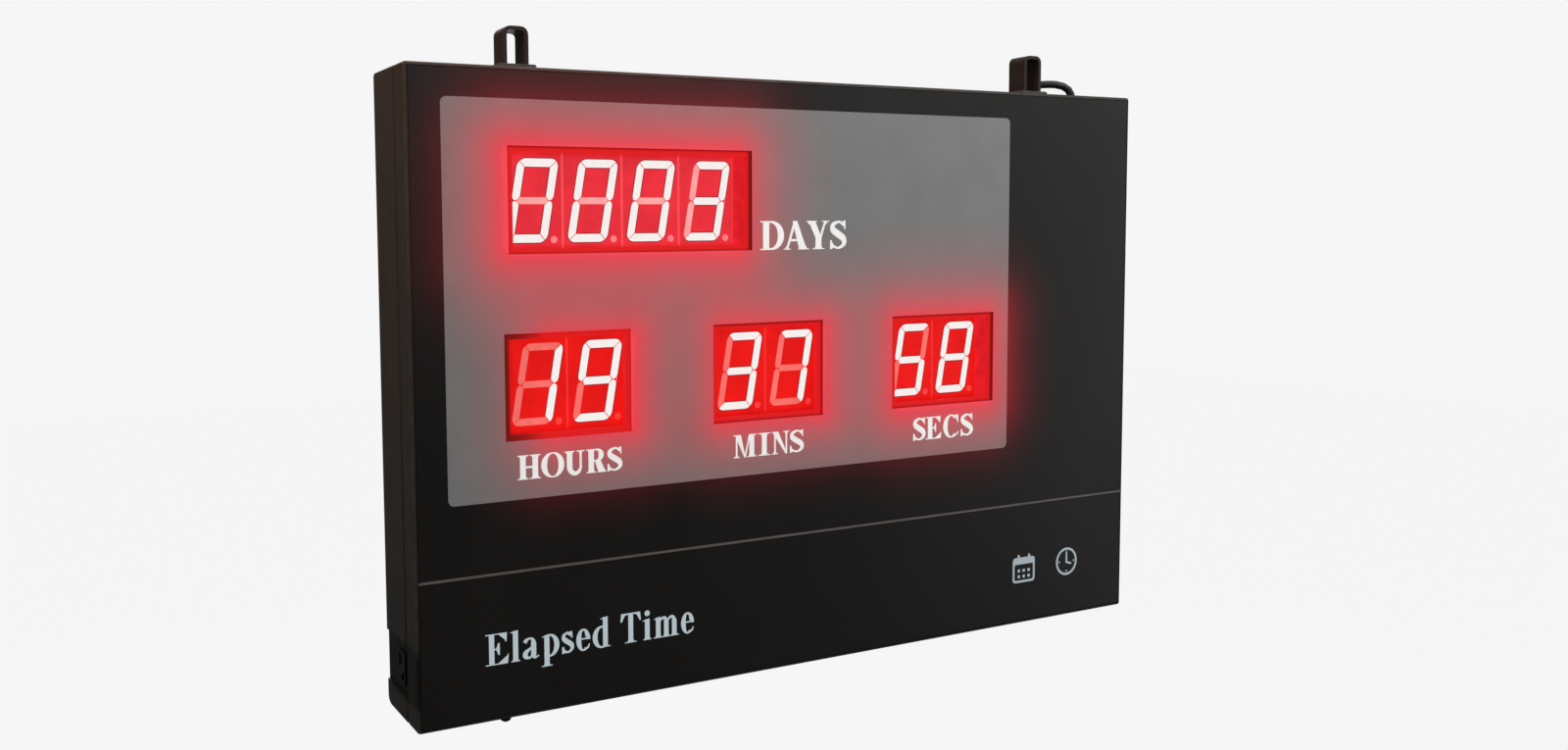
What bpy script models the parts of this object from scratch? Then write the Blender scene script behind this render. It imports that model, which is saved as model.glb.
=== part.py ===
"""Wall-hung LED day counter: a two-part moulded case with four digit windows in its front, ten
seven-segment modules on a board behind them, two strap hangers on top, a sprung reset button
underneath, a rocker power switch in the left side and a short power lead.

Frame: the front faces -Y, +Z is up, and the origin is the middle of the plane of the case's back.
"""

import math

import bmesh
import bpy
from mathutils import Matrix, Vector

MM = 0.001

# Case
CASE_WIDTH = 421 * MM
CASE_HEIGHT = 289.6 * MM
CASE_DEPTH = 46 * MM
COVER_DEPTH = 14.8 * MM
SEAM = 0.4 * MM
LIP_WALL = 2.2 * MM
HOUSING_WALL = 2.6 * MM
FRONT_EDGE_RADIUS = 1.5 * MM
REAR_EDGE_RADIUS = 1.2 * MM
REAR_FOOT_RADIUS = 4.5 * MM
POCKET_DEPTH = 1.0 * MM
POCKET_RIM = 1.6 * MM
PLATE = 2.2 * MM
TONGUE_FIT = 0.4 * MM
TONGUE_WALL = 2.0 * MM
TONGUE_REACH = 5.7 * MM
TONGUE_ROOT = 1.6 * MM
RIM_WIDTH = 8.0 * MM
LEDGE_WIDTH = 9.0 * MM
LEDGE_THICK = 2.2 * MM
BACK_RECESS = 13.2 * MM
BACK_THICK = 1.5 * MM
GAP = 0.3 * MM

# Displays
DIGIT_PITCH = 30.0 * MM
DIGIT_WIDTH = 29.7 * MM
DIGIT_HEIGHT = 47.6 * MM
DIGIT_DEPTH = 10.0 * MM
DIGIT_SETBACK = 8.0 * MM
BOARD_THICK = 1.6 * MM
# name: (window left, window right, window bottom, window top, first module's left, modules)
WINDOWS = {
    "days": (-164.5 * MM, -39.1 * MM, 63.1 * MM, 110.5 * MM, -164.9 * MM, 4),
    "hours": (-167.4 * MM, -105.1 * MM, -19.5 * MM, 28.1 * MM, -163.8 * MM, 2),
    "mins": (-61.0 * MM, 2.1 * MM, -19.5 * MM, 28.1 * MM, -56.7 * MM, 2),
    "secs": (45.2 * MM, 112.5 * MM, -19.5 * MM, 28.1 * MM, 47.8 * MM, 2),
}
WINDOW_LEDGE = 2.5 * MM
BOARD_LOW = (-174 * MM, -27 * MM)
BOARD_HIGH = (122 * MM, 118 * MM)
BOARD_BOSS_RADIUS = 3.4 * MM
BOARD_BOSS_INSET = 4.5 * MM
DIVIDER_HEIGHT = -78.2 * MM
DIVIDER_THICK = 1.1 * MM
FASCIA_THICK = 0.65 * MM
FASCIA_FIT = 0.05 * MM

# Control board, and what stands on it: (left, right, bottom, top, height above the board)
MAIN_BOSS_RADIUS = 3.2 * MM
MAIN_SCREW_INSET = 4.5 * MM
CHIP = (-52 * MM, 0, -120 * MM, -106 * MM, 4 * MM)
HEAT_SINK = (44 * MM, 60 * MM, -125 * MM, -101 * MM, 14 * MM)
HEAT_SINK_BASE = 4 * MM
FIN_GAP = 2.8 * MM
FIN_PITCH = 4.5 * MM
TERMINALS = (66 * MM, 78 * MM, -126 * MM, -96 * MM, 10 * MM)
TERMINAL_PITCH = 10 * MM
TERMINAL_HOLE = 2.2 * MM
CELL_X = 26 * MM
CELL_Z = -113 * MM
CELL_RADIUS = 10 * MM
CELL_THICK = 3.2 * MM
CELL_HOLDER_WALL = 1.7 * MM
CELL_HOLDER_FLOOR = 1.5 * MM
RIBBON_X = -26 * MM
RIBBON_WIDTH = 26 * MM
RIBBON_THICK = 1.0 * MM

# Hangers
HANGER_XS = {"left": -152.6 * MM, "right": 154.8 * MM}
HANGER_RISES = {"left": 20.2 * MM, "right": 22.6 * MM}
HANGER_OUTER = 12.2 * MM
HANGER_STRAP = 1.8 * MM
HANGER_WIDTH = 11.8 * MM
HANGER_Y = -22.9 * MM
HANGER_RADIUS = 3.6 * MM
HANGER_FOOT = 10.6 * MM
HANGER_SCREW_FROM_TOE = 3.9 * MM
COLLAR_RISE = 3.3 * MM
COLLAR_LENGTH = 18.8 * MM
COLLAR_WIDTH = 15.4 * MM

# Controls
CONTROL_Y = -22.0 * MM
SWITCH_Z = -121.3 * MM
SWITCH_RECESS = 1.2 * MM
SWITCH_RECESS_HEIGHT = 23.8 * MM
ROCKER_PIVOT_X = -206.4 * MM
ROCKER_TILT = math.radians(11)
BUTTON_X = -160.6 * MM
BUTTON_TIP = -155.4 * MM
BUTTON_SHOULDER = -151.7 * MM
BUTTON_THREAD = 3.4 * MM
SWITCH_BEZEL = (10.5 * MM, 15.2 * MM)
SWITCH_BLOCK = (8.4 * MM, 13.4 * MM)
SWITCH_MOUTH = (7.0 * MM, 11.2 * MM)
SWITCH_BLOCK_END = -197 * MM
SWITCH_MOUTH_END = -204 * MM
ROCKER_WIDTH = 6.3 * MM
ROCKER_PIN_LENGTH = 7.6 * MM
ROCKER_PIN_RADIUS = 0.8 * MM

# Leads, their routes in millimetres
LEAD_RADIUS = 2.1 * MM
LEAD_EXIT_X = 190.4 * MM
LEAD_NOTCH = (152.8 * MM, 162.4 * MM, -9.2 * MM)
LEAD_ROUTE = [
    (190.4, -22.5, 141.7), (190.4, -22.5, 145.3), (190.0, -22.4, 148.2), (188.6, -21.8, 150.9),
    (185.8, -20.8, 152.8), (181.8, -19.3, 153.8), (176.8, -17.0, 154.0), (171.5, -14.2, 153.5),
    (166.5, -11.0, 151.8), (162.0, -8.3, 148.9), (158.6, -6.3, 144.9), (156.8, -5.4, 139.5),
    (156.2, -5.2, 132), (156.4, -5.4, 116), (157.6, -5.6, 92), (159.2, -5.6, 62),
    (160.2, -5.6, 28), (159.8, -5.6, -6), (158.6, -5.6, -36), (157.8, -5.6, -60),
    (157.6, -5.6, -72),
]
LEAD_HANGS_FROM = 12
INNER_LEAD_RADIUS = 1.7 * MM
INNER_LEAD_ROUTE = [
    (190.4, -22.5, 141.2), (190.6, -22.4, 120), (192, -22, 60), (192, -22, -40), (188, -22, -76),
    (170, -22, -98), (140, -23, -107), (110, -24.5, -111), (78.3, -25.3, -111),
]
THIN_LEAD_RADIUS = 1.2 * MM
SWITCH_LEAD_ROUTE = [
    (-196.6, -22, -121.3), (-189, -22, -119), (-176, -22, -110), (-150, -21, -105), (-70.3, -19.2, -104),
]
BUTTON_LEAD_ROUTE = [
    (-160.6, -22, -127.5), (-159.2, -22, -122.5), (-152, -21.5, -119), (-120, -20, -117),
    (-70.3, -19.2, -118),
]
GROMMET_HOLE = 3.5 * MM
SOCKET_MOUTH = 3.1 * MM

# Screws
SCREW_SHAFT = 1.2 * MM
SCREW_HOLE = 1.5 * MM
SCREW_HEAD = 2.6 * MM
SCREW_HEAD_RISE = 1.7 * MM
SCREW_SIDES = 12
COVER_SCREW_X = 120 * MM
COVER_SINK_RADIUS = 3.0 * MM
COVER_SINK_DEPTH = 1.5 * MM

HALF_WIDTH = CASE_WIDTH / 2
HALF_HEIGHT = CASE_HEIGHT / 2
FRONT = -CASE_DEPTH
COVER_REAR = FRONT + COVER_DEPTH
HOUSING_FRONT = COVER_REAR + SEAM
PLATE_FRONT = FRONT + POCKET_DEPTH
PLATE_REAR = PLATE_FRONT + PLATE
DIGIT_FRONT = FRONT + DIGIT_SETBACK
DIGIT_REAR = DIGIT_FRONT + DIGIT_DEPTH
BOARD_FRONT = DIGIT_REAR + GAP
BOARD_REAR = BOARD_FRONT + BOARD_THICK
LEDGE_REAR = -BACK_RECESS
LEDGE_FRONT = LEDGE_REAR - LEDGE_THICK
BACK_FRONT = LEDGE_REAR + GAP
BACK_REAR = BACK_FRONT + BACK_THICK
INNER_TOP = HALF_HEIGHT - HOUSING_WALL
TONGUE_OUT = LIP_WALL + TONGUE_FIT
TONGUE_IN = TONGUE_OUT + TONGUE_WALL
COVER_SCREW_Y = HOUSING_FRONT - 0.55 * TONGUE_REACH
BACK_SCREW_INSET = RIM_WIDTH + LEDGE_WIDTH / 2
MAIN_BOARD_LOW = Vector((-70 * MM, -20.0 * MM, -128 * MM))
MAIN_BOARD_HIGH = Vector((92 * MM, -18.4 * MM, -80 * MM))
MAIN_FACE = MAIN_BOARD_LOW.y - GAP

for old in list(bpy.data.objects):
    bpy.data.objects.remove(old, do_unlink=True)
PARTS = bpy.data.collections.new("led_day_counter")
CUTTERS = bpy.data.collections.new("cutters")
for group in (PARTS, CUTTERS):
    bpy.context.scene.collection.children.link(group)


# ---------------------------------------------------------------- materials


def material(name, colour, roughness, metallic=0.0):
    made = bpy.data.materials.new(name)
    made.use_nodes = True
    shader = made.node_tree.nodes["Principled BSDF"]
    shader.inputs["Base Color"].default_value = (*colour, 1)
    shader.inputs["Roughness"].default_value = roughness
    shader.inputs["Metallic"].default_value = metallic
    return made


CASE_BLACK = material("case_black", (0.022, 0.020, 0.019), 0.45)
FASCIA_BLACK = material("fascia_black", (0.016, 0.014, 0.014), 0.3)
DIVIDER_GREY = material("divider_grey", (0.09, 0.085, 0.082), 0.4)
DIGIT_RED = material("digit_red", (0.75, 0.01, 0.012), 0.35)
BOARD_GREEN = material("board_green", (0.02, 0.11, 0.04), 0.45)
STRAP_BLACK = material("strap_black", (0.03, 0.022, 0.02), 0.4, 0.6)
RUBBER_BLACK = material("rubber_black", (0.025, 0.024, 0.024), 0.75)
SCREW_STEEL = material("screw_steel", (0.12, 0.12, 0.12), 0.35, 1.0)
CHIP_BLACK = material("chip_black", (0.015, 0.015, 0.016), 0.5)
CELL_STEEL = material("cell_steel", (0.6, 0.6, 0.58), 0.25, 1.0)
TERMINAL_GREEN = material("terminal_green", (0.03, 0.28, 0.08), 0.4)
SINK_GREY = material("heat_sink", (0.5, 0.5, 0.52), 0.4, 1.0)
RIBBON_GREY = material("ribbon_grey", (0.4, 0.4, 0.42), 0.6)
LEAD_BLACK = material("lead_black", (0.018, 0.018, 0.018), 0.5)
BUTTON_BLACK = material("button_black", (0.02, 0.02, 0.02), 0.4)
NUT_STEEL = material("nut_steel", (0.55, 0.55, 0.53), 0.3, 1.0)


# ---------------------------------------------------------------- modelling helpers


def place(obj, name, finish, collection=PARTS):
    """Names an object, gives it its material and moves it to its collection."""
    obj.name = name
    obj.data.name = name
    obj.data.materials.clear()
    if finish:
        obj.data.materials.append(finish)
    for held in list(obj.users_collection):
        held.objects.unlink(obj)
    collection.objects.link(obj)
    if collection is CUTTERS:
        obj.hide_render = True
        obj.display_type = "WIRE"
    return obj


def apply_scale(obj):
    obj.data.transform(Matrix.Diagonal((*obj.scale, 1)))
    obj.scale = (1, 1, 1)


def box(name, low, high, finish=None, rounding=0.0, steps=2, collection=PARTS):
    """A box between two corners, with all its edges rounded where rounding is given."""
    low, high = Vector(low), Vector(high)
    bpy.ops.mesh.primitive_cube_add(size=1, location=(low + high) / 2)
    obj = bpy.context.object
    obj.scale = high - low
    apply_scale(obj)
    place(obj, name, finish, collection)
    if rounding:
        round_edges(obj, rounding, steps)
    return obj


def round_edges(obj, width, steps=2, angle=40):
    rounding = obj.modifiers.new("rounding", "BEVEL")
    rounding.width = width
    rounding.segments = steps
    rounding.limit_method = "ANGLE"
    rounding.angle_limit = math.radians(angle)


def rod(name, start, end, radius, finish=None, sides=16, collection=PARTS):
    """A cylinder from one point to another."""
    start, end = Vector(start), Vector(end)
    bpy.ops.mesh.primitive_cylinder_add(
        vertices=sides, radius=radius, depth=(end - start).length, location=(start + end) / 2
    )
    obj = bpy.context.object
    obj.rotation_mode = "QUATERNION"
    obj.rotation_quaternion = Vector((0, 0, 1)).rotation_difference(end - start)
    return smooth(place(obj, name, finish, collection))


def smooth(obj, angle=35):
    obj.data.shade_smooth()
    obj.data.set_sharp_from_angle(angle=math.radians(angle))
    return obj


def turned(name, profile, origin, axis, finish=None, sides=20, collection=PARTS):
    """Turns (radius, height) points, listed from the top down, about an axis through origin."""
    shape = bmesh.new()
    corners = [shape.verts.new((radius, 0, height)) for radius, height in profile]
    for upper, lower in zip(corners, corners[1:]):
        shape.edges.new((upper, lower))
    if profile[0] == profile[-1]:
        bmesh.ops.remove_doubles(shape, verts=shape.verts, dist=1e-7)
    mesh = bpy.data.meshes.new(name)
    shape.to_mesh(mesh)
    shape.free()
    obj = bpy.data.objects.new(name, mesh)
    obj.location = origin
    obj.rotation_mode = "QUATERNION"
    obj.rotation_quaternion = Vector((0, 0, 1)).rotation_difference(Vector(axis))
    place(obj, name, finish, collection)
    turn = obj.modifiers.new("turn", "SCREW")
    turn.steps = turn.render_steps = sides
    turn.use_merge_vertices = True
    turn.merge_threshold = 1e-5
    turn.use_smooth_shade = False
    return obj


def boolean(obj, other, operation):
    made = obj.modifiers.new(operation.lower(), "BOOLEAN")
    made.operation = operation
    made.object = other
    made.solver = "EXACT"
    return obj


def cut(obj, cutter):
    return boolean(obj, cutter, "DIFFERENCE")


def join(obj, other):
    return boolean(obj, other, "UNION")


def cut_box(obj, low, high, rounding=0.0):
    return cut(obj, box(f"{obj.name}_cut", low, high, None, rounding, collection=CUTTERS))


def cut_hole(obj, start, end, radius, sides=16):
    return cut(obj, rod(f"{obj.name}_hole", start, end, radius, None, sides, CUTTERS))


def realised(obj):
    """The object with its modifiers and its curve made into one plain mesh."""
    bpy.context.view_layer.update()
    graph = bpy.context.evaluated_depsgraph_get()
    mesh = bpy.data.meshes.new_from_object(obj.evaluated_get(graph))
    shape = bmesh.new()
    shape.from_mesh(mesh)
    bmesh.ops.remove_doubles(shape, verts=shape.verts, dist=1e-7)
    shape.to_mesh(mesh)
    shape.free()
    solid = bpy.data.objects.new(obj.name, mesh)
    solid.matrix_world = obj.matrix_world.copy()
    name, finish = obj.name, obj.data.materials[0] if obj.data.materials else None
    bpy.data.objects.remove(obj, do_unlink=True)
    return place(solid, name, finish)


def tube(name, points, radius, finish):
    """A round wire through the points, as a curve with closed ends."""
    data = bpy.data.curves.new(name, "CURVE")
    data.dimensions = "3D"
    data.bevel_depth = radius
    data.bevel_resolution = 2
    data.use_fill_caps = True
    line = data.splines.new("POLY")
    line.points.add(len(points) - 1)
    for held, point in zip(line.points, points):
        held.co = (*point, 1)
    return place(bpy.data.objects.new(name, data), name, finish)


def smooth_route(points, step):
    """Points about one step apart on the smooth curve through the given ones."""
    given = [Vector(point) for point in points]
    ends = [2 * given[0] - given[1], *given, 2 * given[-1] - given[-2]]
    found = []
    for before, start, end, after in zip(ends, ends[1:], ends[2:], ends[3:]):
        count = max(1, round((end - start).length / step))
        for number in range(count):
            t = number / count
            found.append(
                0.5 * (2 * start + (end - before) * t
                       + (2 * before - 5 * start + 4 * end - after) * t ** 2
                       + (3 * start - before - 3 * end + after) * t ** 3)
            )
    return found + [given[-1]]


def outline_solid(name, outline, low, high, finish):
    """Extrudes a closed outline of (x, z) points along Y."""
    shape = bmesh.new()
    near = [shape.verts.new((x, low, z)) for x, z in outline]
    far = [shape.verts.new((x, high, z)) for x, z in outline]
    shape.faces.new(near)
    shape.faces.new(list(reversed(far)))
    for number in range(len(outline)):
        after = (number + 1) % len(outline)
        shape.faces.new((near[after], near[number], far[number], far[after]))
    bmesh.ops.recalc_face_normals(shape, faces=shape.faces)
    mesh = bpy.data.meshes.new(name)
    shape.to_mesh(mesh)
    shape.free()
    return place(bpy.data.objects.new(name, mesh), name, finish)


def centred_box(
    name, half_x, half_z, front, rear, finish=None, rounding=0.0, steps=2, collection=PARTS
):
    """A box about the middle of the case, from one depth to another."""
    low, high = (-half_x, front, -half_z), (half_x, rear, half_z)
    return box(name, low, high, finish, rounding, steps, collection)


def cut_inset(obj, inset, front, rear):
    """Hollows the case shape out, inset by the given wall all round."""
    cutter = centred_box(
        f"{obj.name}_hollow", HALF_WIDTH - inset, HALF_HEIGHT - inset, front, rear, collection=CUTTERS
    )
    return cut(obj, cutter)


# ---------------------------------------------------------------- screws


def screw_mesh(name, profile, slots):
    """One screw about the origin, its head's top at z = 0, with one slot or the two of a cross."""
    master = turned(name, profile, (0, 0, 0), (0, 0, 1), SCREW_STEEL, SCREW_SIDES)
    reach, blade, depth = 0.6 * SCREW_HEAD, 0.28 * MM, 0.8 * MM
    for number, (x, y) in enumerate(((reach, blade), (blade, reach))[:slots]):
        low, high = (-x, -y, -depth), (x, y, MM)
        cut(master, box(f"{name}_slot_{number}", low, high, collection=CUTTERS))
    return realised(master)


def pan_profile(length):
    low = -SCREW_HEAD_RISE
    return [
        (0, 0), (0.6 * SCREW_HEAD, 0), (0.93 * SCREW_HEAD, 0.4 * low), (SCREW_HEAD, low),
        (SCREW_SHAFT, low), (SCREW_SHAFT, low - length), (0, low - length - 0.5 * MM),
    ]


def flush_profile(length):
    return [
        (0, 0), (SCREW_HEAD, 0), (SCREW_HEAD, -0.2 * MM), (SCREW_SHAFT, -1.6 * MM),
        (SCREW_SHAFT, -length), (0, -length - 0.5 * MM),
    ]


def screws(name, profile, places, axis, slots=2):
    """Numbered screws with one shared mesh, their heads facing along axis."""
    master = screw_mesh(f"{name}_1", profile, slots)
    for number, point in enumerate(places, 1):
        screw = master if number == 1 else bpy.data.objects.new(f"{name}_{number}", master.data)
        if number > 1:
            PARTS.objects.link(screw)
        direction = Vector(axis(point) if callable(axis) else axis)
        screw.rotation_mode = "QUATERNION"
        screw.rotation_quaternion = Vector((0, 0, 1)).rotation_difference(direction)
        screw.location = point


# ---------------------------------------------------------------- case


def display_boss_places():
    inset = BOARD_BOSS_INSET
    xs = (BOARD_LOW[0] + inset, BOARD_HIGH[0] - inset)
    zs = (BOARD_LOW[1] + inset, BOARD_HIGH[1] - inset)
    return [(x, z) for x in xs for z in zs]


def cover_screw_places():
    return [
        (x, COVER_SCREW_Y, side * (HALF_HEIGHT - 0.1 * MM))
        for side in (1, -1) for x in (-COVER_SCREW_X, COVER_SCREW_X)
    ]


def front_cover():
    """The front moulding: a plate behind the fascia pocket, with a lip all round its back."""
    cover = centred_box(
        "front_cover", HALF_WIDTH, HALF_HEIGHT, FRONT, COVER_REAR, CASE_BLACK, FRONT_EDGE_RADIUS, 3
    )
    cut_inset(cover, POCKET_RIM, FRONT - MM, PLATE_FRONT)
    cut_inset(cover, LIP_WALL, PLATE_REAR, COVER_REAR + MM)
    for left, right, low, high, _, _ in WINDOWS.values():
        start = (left + WINDOW_LEDGE, FRONT - MM, low + WINDOW_LEDGE)
        end = (right - WINDOW_LEDGE, PLATE_REAR + MM, high - WINDOW_LEDGE)
        cut_box(cover, start, end)
    for number, (x, z) in enumerate(display_boss_places()):
        start, end = (x, PLATE_REAR - 0.5 * MM, z), (x, BOARD_FRONT - GAP, z)
        join(cover, rod(f"display_boss_{number}", start, end, BOARD_BOSS_RADIUS, None, 14, CUTTERS))
        cut_hole(cover, (x, PLATE_REAR + MM, z), (x, BOARD_FRONT, z), SCREW_HOLE, 12)
    through = 4 * MM
    sink = [
        (0, MM), (1.1 * COVER_SINK_RADIUS, MM), (COVER_SINK_RADIUS, 0), (SCREW_HOLE, -COVER_SINK_DEPTH),
        (SCREW_HOLE, -through), (0, -through),
    ]
    for x, y, z in cover_screw_places():
        outward = (0, 0, math.copysign(1, z))
        cut(cover, turned("cover_sink", sink, (x, y, z), outward, None, 14, CUTTERS))
    return cover


def housing_shell():
    """The outer block of the rear moulding, with its foot edge well rounded."""
    shell = box(
        "rear_housing", (-HALF_WIDTH, HOUSING_FRONT, -HALF_HEIGHT), (HALF_WIDTH, 0, HALF_HEIGHT), CASE_BLACK
    )
    shape = bmesh.new()
    shape.from_mesh(shell.data)
    middle = shell.location
    for side, radius, steps in ((-1, REAR_FOOT_RADIUS, 5), (1, 1.6 * REAR_EDGE_RADIUS, 3)):
        edges = [
            edge for edge in shape.edges
            if all(abs(v.co.y + middle.y) < 1e-6 and side * (v.co.z + middle.z) > HALF_HEIGHT - 1e-6
                   for v in edge.verts)
        ]
        bmesh.ops.bevel(
            shape, geom=edges, offset=radius, segments=steps, affect="EDGES", profile=0.5
        )
    shape.to_mesh(shell.data)
    shape.free()
    round_edges(shell, REAR_EDGE_RADIUS, 2, 50)
    return shell


def rear_housing():
    """The rear moulding: four walls, a tongue that enters the cover and a ledge for the back panel."""
    housing = housing_shell()
    tongue_front = HOUSING_FRONT - TONGUE_REACH
    root = HOUSING_FRONT + TONGUE_ROOT
    tongue = centred_box(
        "housing_tongue", HALF_WIDTH - TONGUE_OUT, HALF_HEIGHT - TONGUE_OUT,
        tongue_front, HOUSING_FRONT + MM, collection=CUTTERS,
    )
    join(housing, tongue)
    cut_inset(housing, TONGUE_IN, tongue_front - MM, root + MM)
    cut_inset(housing, HOUSING_WALL, root, LEDGE_FRONT)
    cut_inset(housing, RIM_WIDTH + LEDGE_WIDTH, LEDGE_FRONT - MM, 2 * MM)
    cut_inset(housing, RIM_WIDTH, LEDGE_REAR, MM)
    for x, y, z in cover_screw_places():
        cut_hole(housing, (x, y, 0.93 * z), (x, y, 1.02 * z), SCREW_HOLE, 12)
    for x, z in back_screw_places():
        cut_hole(housing, (x, LEDGE_FRONT - MM, z), (x, LEDGE_REAR + MM, z), SCREW_HOLE, 12)
    cut_hanger_holes(housing)
    cut_control_holes(housing)
    exit_y = LEAD_ROUTE[0][1] * MM
    cut_hole(
        housing, (LEAD_EXIT_X, exit_y, INNER_TOP - MM), (LEAD_EXIT_X, exit_y, HALF_HEIGHT + MM),
        GROMMET_HOLE, 20,
    )
    notch_left, notch_right, notch_floor = LEAD_NOTCH
    cut_box(
        housing, (notch_left, notch_floor, HALF_HEIGHT - RIM_WIDTH - MM),
        (notch_right, MM, HALF_HEIGHT + MM),
    )
    return housing


def cut_hanger_holes(housing):
    for middle in HANGER_XS.values():
        for leg in (-1, 1):
            x = middle + leg * (HANGER_OUTER - HANGER_STRAP) / 2
            across, along = HANGER_STRAP / 2 + GAP, HANGER_WIDTH / 2 + 0.6 * GAP
            cut_box(
                housing, (x - across, HANGER_Y - along, INNER_TOP - 3 * MM),
                (x + across, HANGER_Y + along, HALF_HEIGHT + MM),
            )
    for x, y, z in hanger_screw_places():
        cut_hole(housing, (x, y, INNER_TOP - MM), (x, y, z), SCREW_HOLE, 12)


def cut_control_holes(housing):
    half = SWITCH_RECESS_HEIGHT / 2
    cut_box(
        housing, (-HALF_WIDTH - MM, HOUSING_FRONT - 2 * MM, SWITCH_Z - half),
        (-HALF_WIDTH + SWITCH_RECESS, MM, SWITCH_Z + half),
    )
    across, up = SWITCH_BLOCK[0] / 2 + GAP, SWITCH_BLOCK[1] / 2 + GAP
    cut_box(
        housing, (-HALF_WIDTH - MM, CONTROL_Y - across, SWITCH_Z - up),
        (-HALF_WIDTH + 4 * MM, CONTROL_Y + across, SWITCH_Z + up),
    )
    cut_hole(
        housing, (BUTTON_X, CONTROL_Y, -HALF_HEIGHT - MM), (BUTTON_X, CONTROL_Y, -INNER_TOP + MM),
        BUTTON_THREAD + GAP, 20,
    )


def back_screw_places():
    x, z = HALF_WIDTH - BACK_SCREW_INSET, HALF_HEIGHT - BACK_SCREW_INSET
    return [(sx * x, sz * z) for sx in (-1, 1) for sz in (-1, 1)]


def main_screw_places():
    inset = MAIN_SCREW_INSET
    xs = (MAIN_BOARD_LOW.x + inset, MAIN_BOARD_HIGH.x - inset)
    zs = (MAIN_BOARD_LOW.z + inset, MAIN_BOARD_HIGH.z - inset)
    return [(x, z) for x in xs for z in zs]


def back_panel():
    """The panel let into the back, with four bosses inside for the main board."""
    inset = RIM_WIDTH + GAP
    panel = centred_box(
        "back_panel", HALF_WIDTH - inset, HALF_HEIGHT - inset, BACK_FRONT, BACK_REAR, CASE_BLACK
    )
    for number, (x, z) in enumerate(main_screw_places()):
        start, end = (x, MAIN_BOARD_HIGH.y + GAP, z), (x, BACK_FRONT + 0.5 * MM, z)
        join(panel, rod(f"main_boss_{number}", start, end, MAIN_BOSS_RADIUS, None, 14, CUTTERS))
        cut_hole(panel, (x, MAIN_BOARD_HIGH.y - MM, z), (x, BACK_FRONT - 0.4 * MM, z), SCREW_HOLE, 12)
    for x, z in back_screw_places():
        cut_hole(panel, (x, BACK_FRONT - MM, z), (x, BACK_REAR + MM, z), SCREW_HOLE, 12)
    return panel


def fascia():
    """Two thin printed panels in the cover's pocket, with a grey strip between them."""
    half_width = HALF_WIDTH - POCKET_RIM - GAP
    half_height = HALF_HEIGHT - POCKET_RIM - GAP
    front = FRONT + FASCIA_FIT
    rear = front + FASCIA_THICK
    joint = DIVIDER_THICK / 2 + GAP
    low, high = (-half_width, front, DIVIDER_HEIGHT + joint), (half_width, rear, half_height)
    upper = box("display_fascia", low, high, FASCIA_BLACK)
    for left, right, low, high, _, _ in WINDOWS.values():
        cut_box(upper, (left, front - MM, low), (right, rear + MM, high))
    low, high = (-half_width, front, -half_height), (half_width, rear, DIVIDER_HEIGHT - joint)
    box("lower_fascia", low, high, FASCIA_BLACK)
    half = DIVIDER_THICK / 2
    box(
        "divider_strip", (-half_width, front - 0.15 * MM, DIVIDER_HEIGHT - half),
        (half_width, rear, DIVIDER_HEIGHT + half), DIVIDER_GREY,
    )


# ---------------------------------------------------------------- displays


def digits():
    """Seven-segment modules side by side behind each window."""
    for group, (_, _, low, high, first, count) in WINDOWS.items():
        middle = (low + high) / 2
        for number in range(count):
            left = first + number * DIGIT_PITCH + (DIGIT_PITCH - DIGIT_WIDTH) / 2
            box(
                f"{group}_digit_{number + 1}",
                (left, DIGIT_FRONT, middle - DIGIT_HEIGHT / 2),
                (left + DIGIT_WIDTH, DIGIT_REAR, middle + DIGIT_HEIGHT / 2),
                DIGIT_RED, 0.4 * MM, 1,
            )


def display_board():
    board = box(
        "display_board", (BOARD_LOW[0], BOARD_FRONT, BOARD_LOW[1]),
        (BOARD_HIGH[0], BOARD_REAR, BOARD_HIGH[1]), BOARD_GREEN,
    )
    for x, z in display_boss_places():
        cut_hole(board, (x, BOARD_FRONT - MM, z), (x, BOARD_REAR + MM, z), SCREW_HOLE, 12)
    head = BOARD_REAR + GAP + SCREW_HEAD_RISE
    places = [(x, head, z) for x, z in display_boss_places()]
    screws("display_screw", pan_profile(7 * MM), places, (0, 1, 0), slots=1)


# ---------------------------------------------------------------- main board


def on_board(name, extent, finish, rounding=0.0):
    """A box standing on the control board: (left, right, bottom, top, height)."""
    left, right, low, high, rise = extent
    return box(name, (left, MAIN_FACE - rise, low), (right, MAIN_FACE, high), finish, rounding, 1)


def main_board():
    """The control board on the back panel's bosses, and what is soldered to it."""
    board = box("main_board", MAIN_BOARD_LOW, MAIN_BOARD_HIGH, BOARD_GREEN)
    for x, z in main_screw_places():
        start, end = (x, MAIN_BOARD_LOW.y - MM, z), (x, MAIN_BOARD_HIGH.y + MM, z)
        cut_hole(board, start, end, SCREW_HOLE, 12)
    head = MAIN_FACE - SCREW_HEAD_RISE
    places = [(x, head, z) for x, z in main_screw_places()]
    screws("main_board_screw", pan_profile(5.5 * MM), places, (0, -1, 0), slots=1)
    on_board("controller_chip", CHIP, CHIP_BLACK, 0.4 * MM)
    clock_battery()
    terminals = on_board("terminal_block", TERMINALS, TERMINAL_GREEN, 0.5 * MM)
    left, right, low, high, rise = TERMINALS
    x, face = (left + right) / 2, MAIN_FACE - rise
    for number in (-1, 0, 1):
        z = (low + high) / 2 + number * TERMINAL_PITCH
        cut_hole(terminals, (x, face - MM, z), (x, face + 4 * MM, z), TERMINAL_HOLE, 12)
    voltage_regulator()


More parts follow.
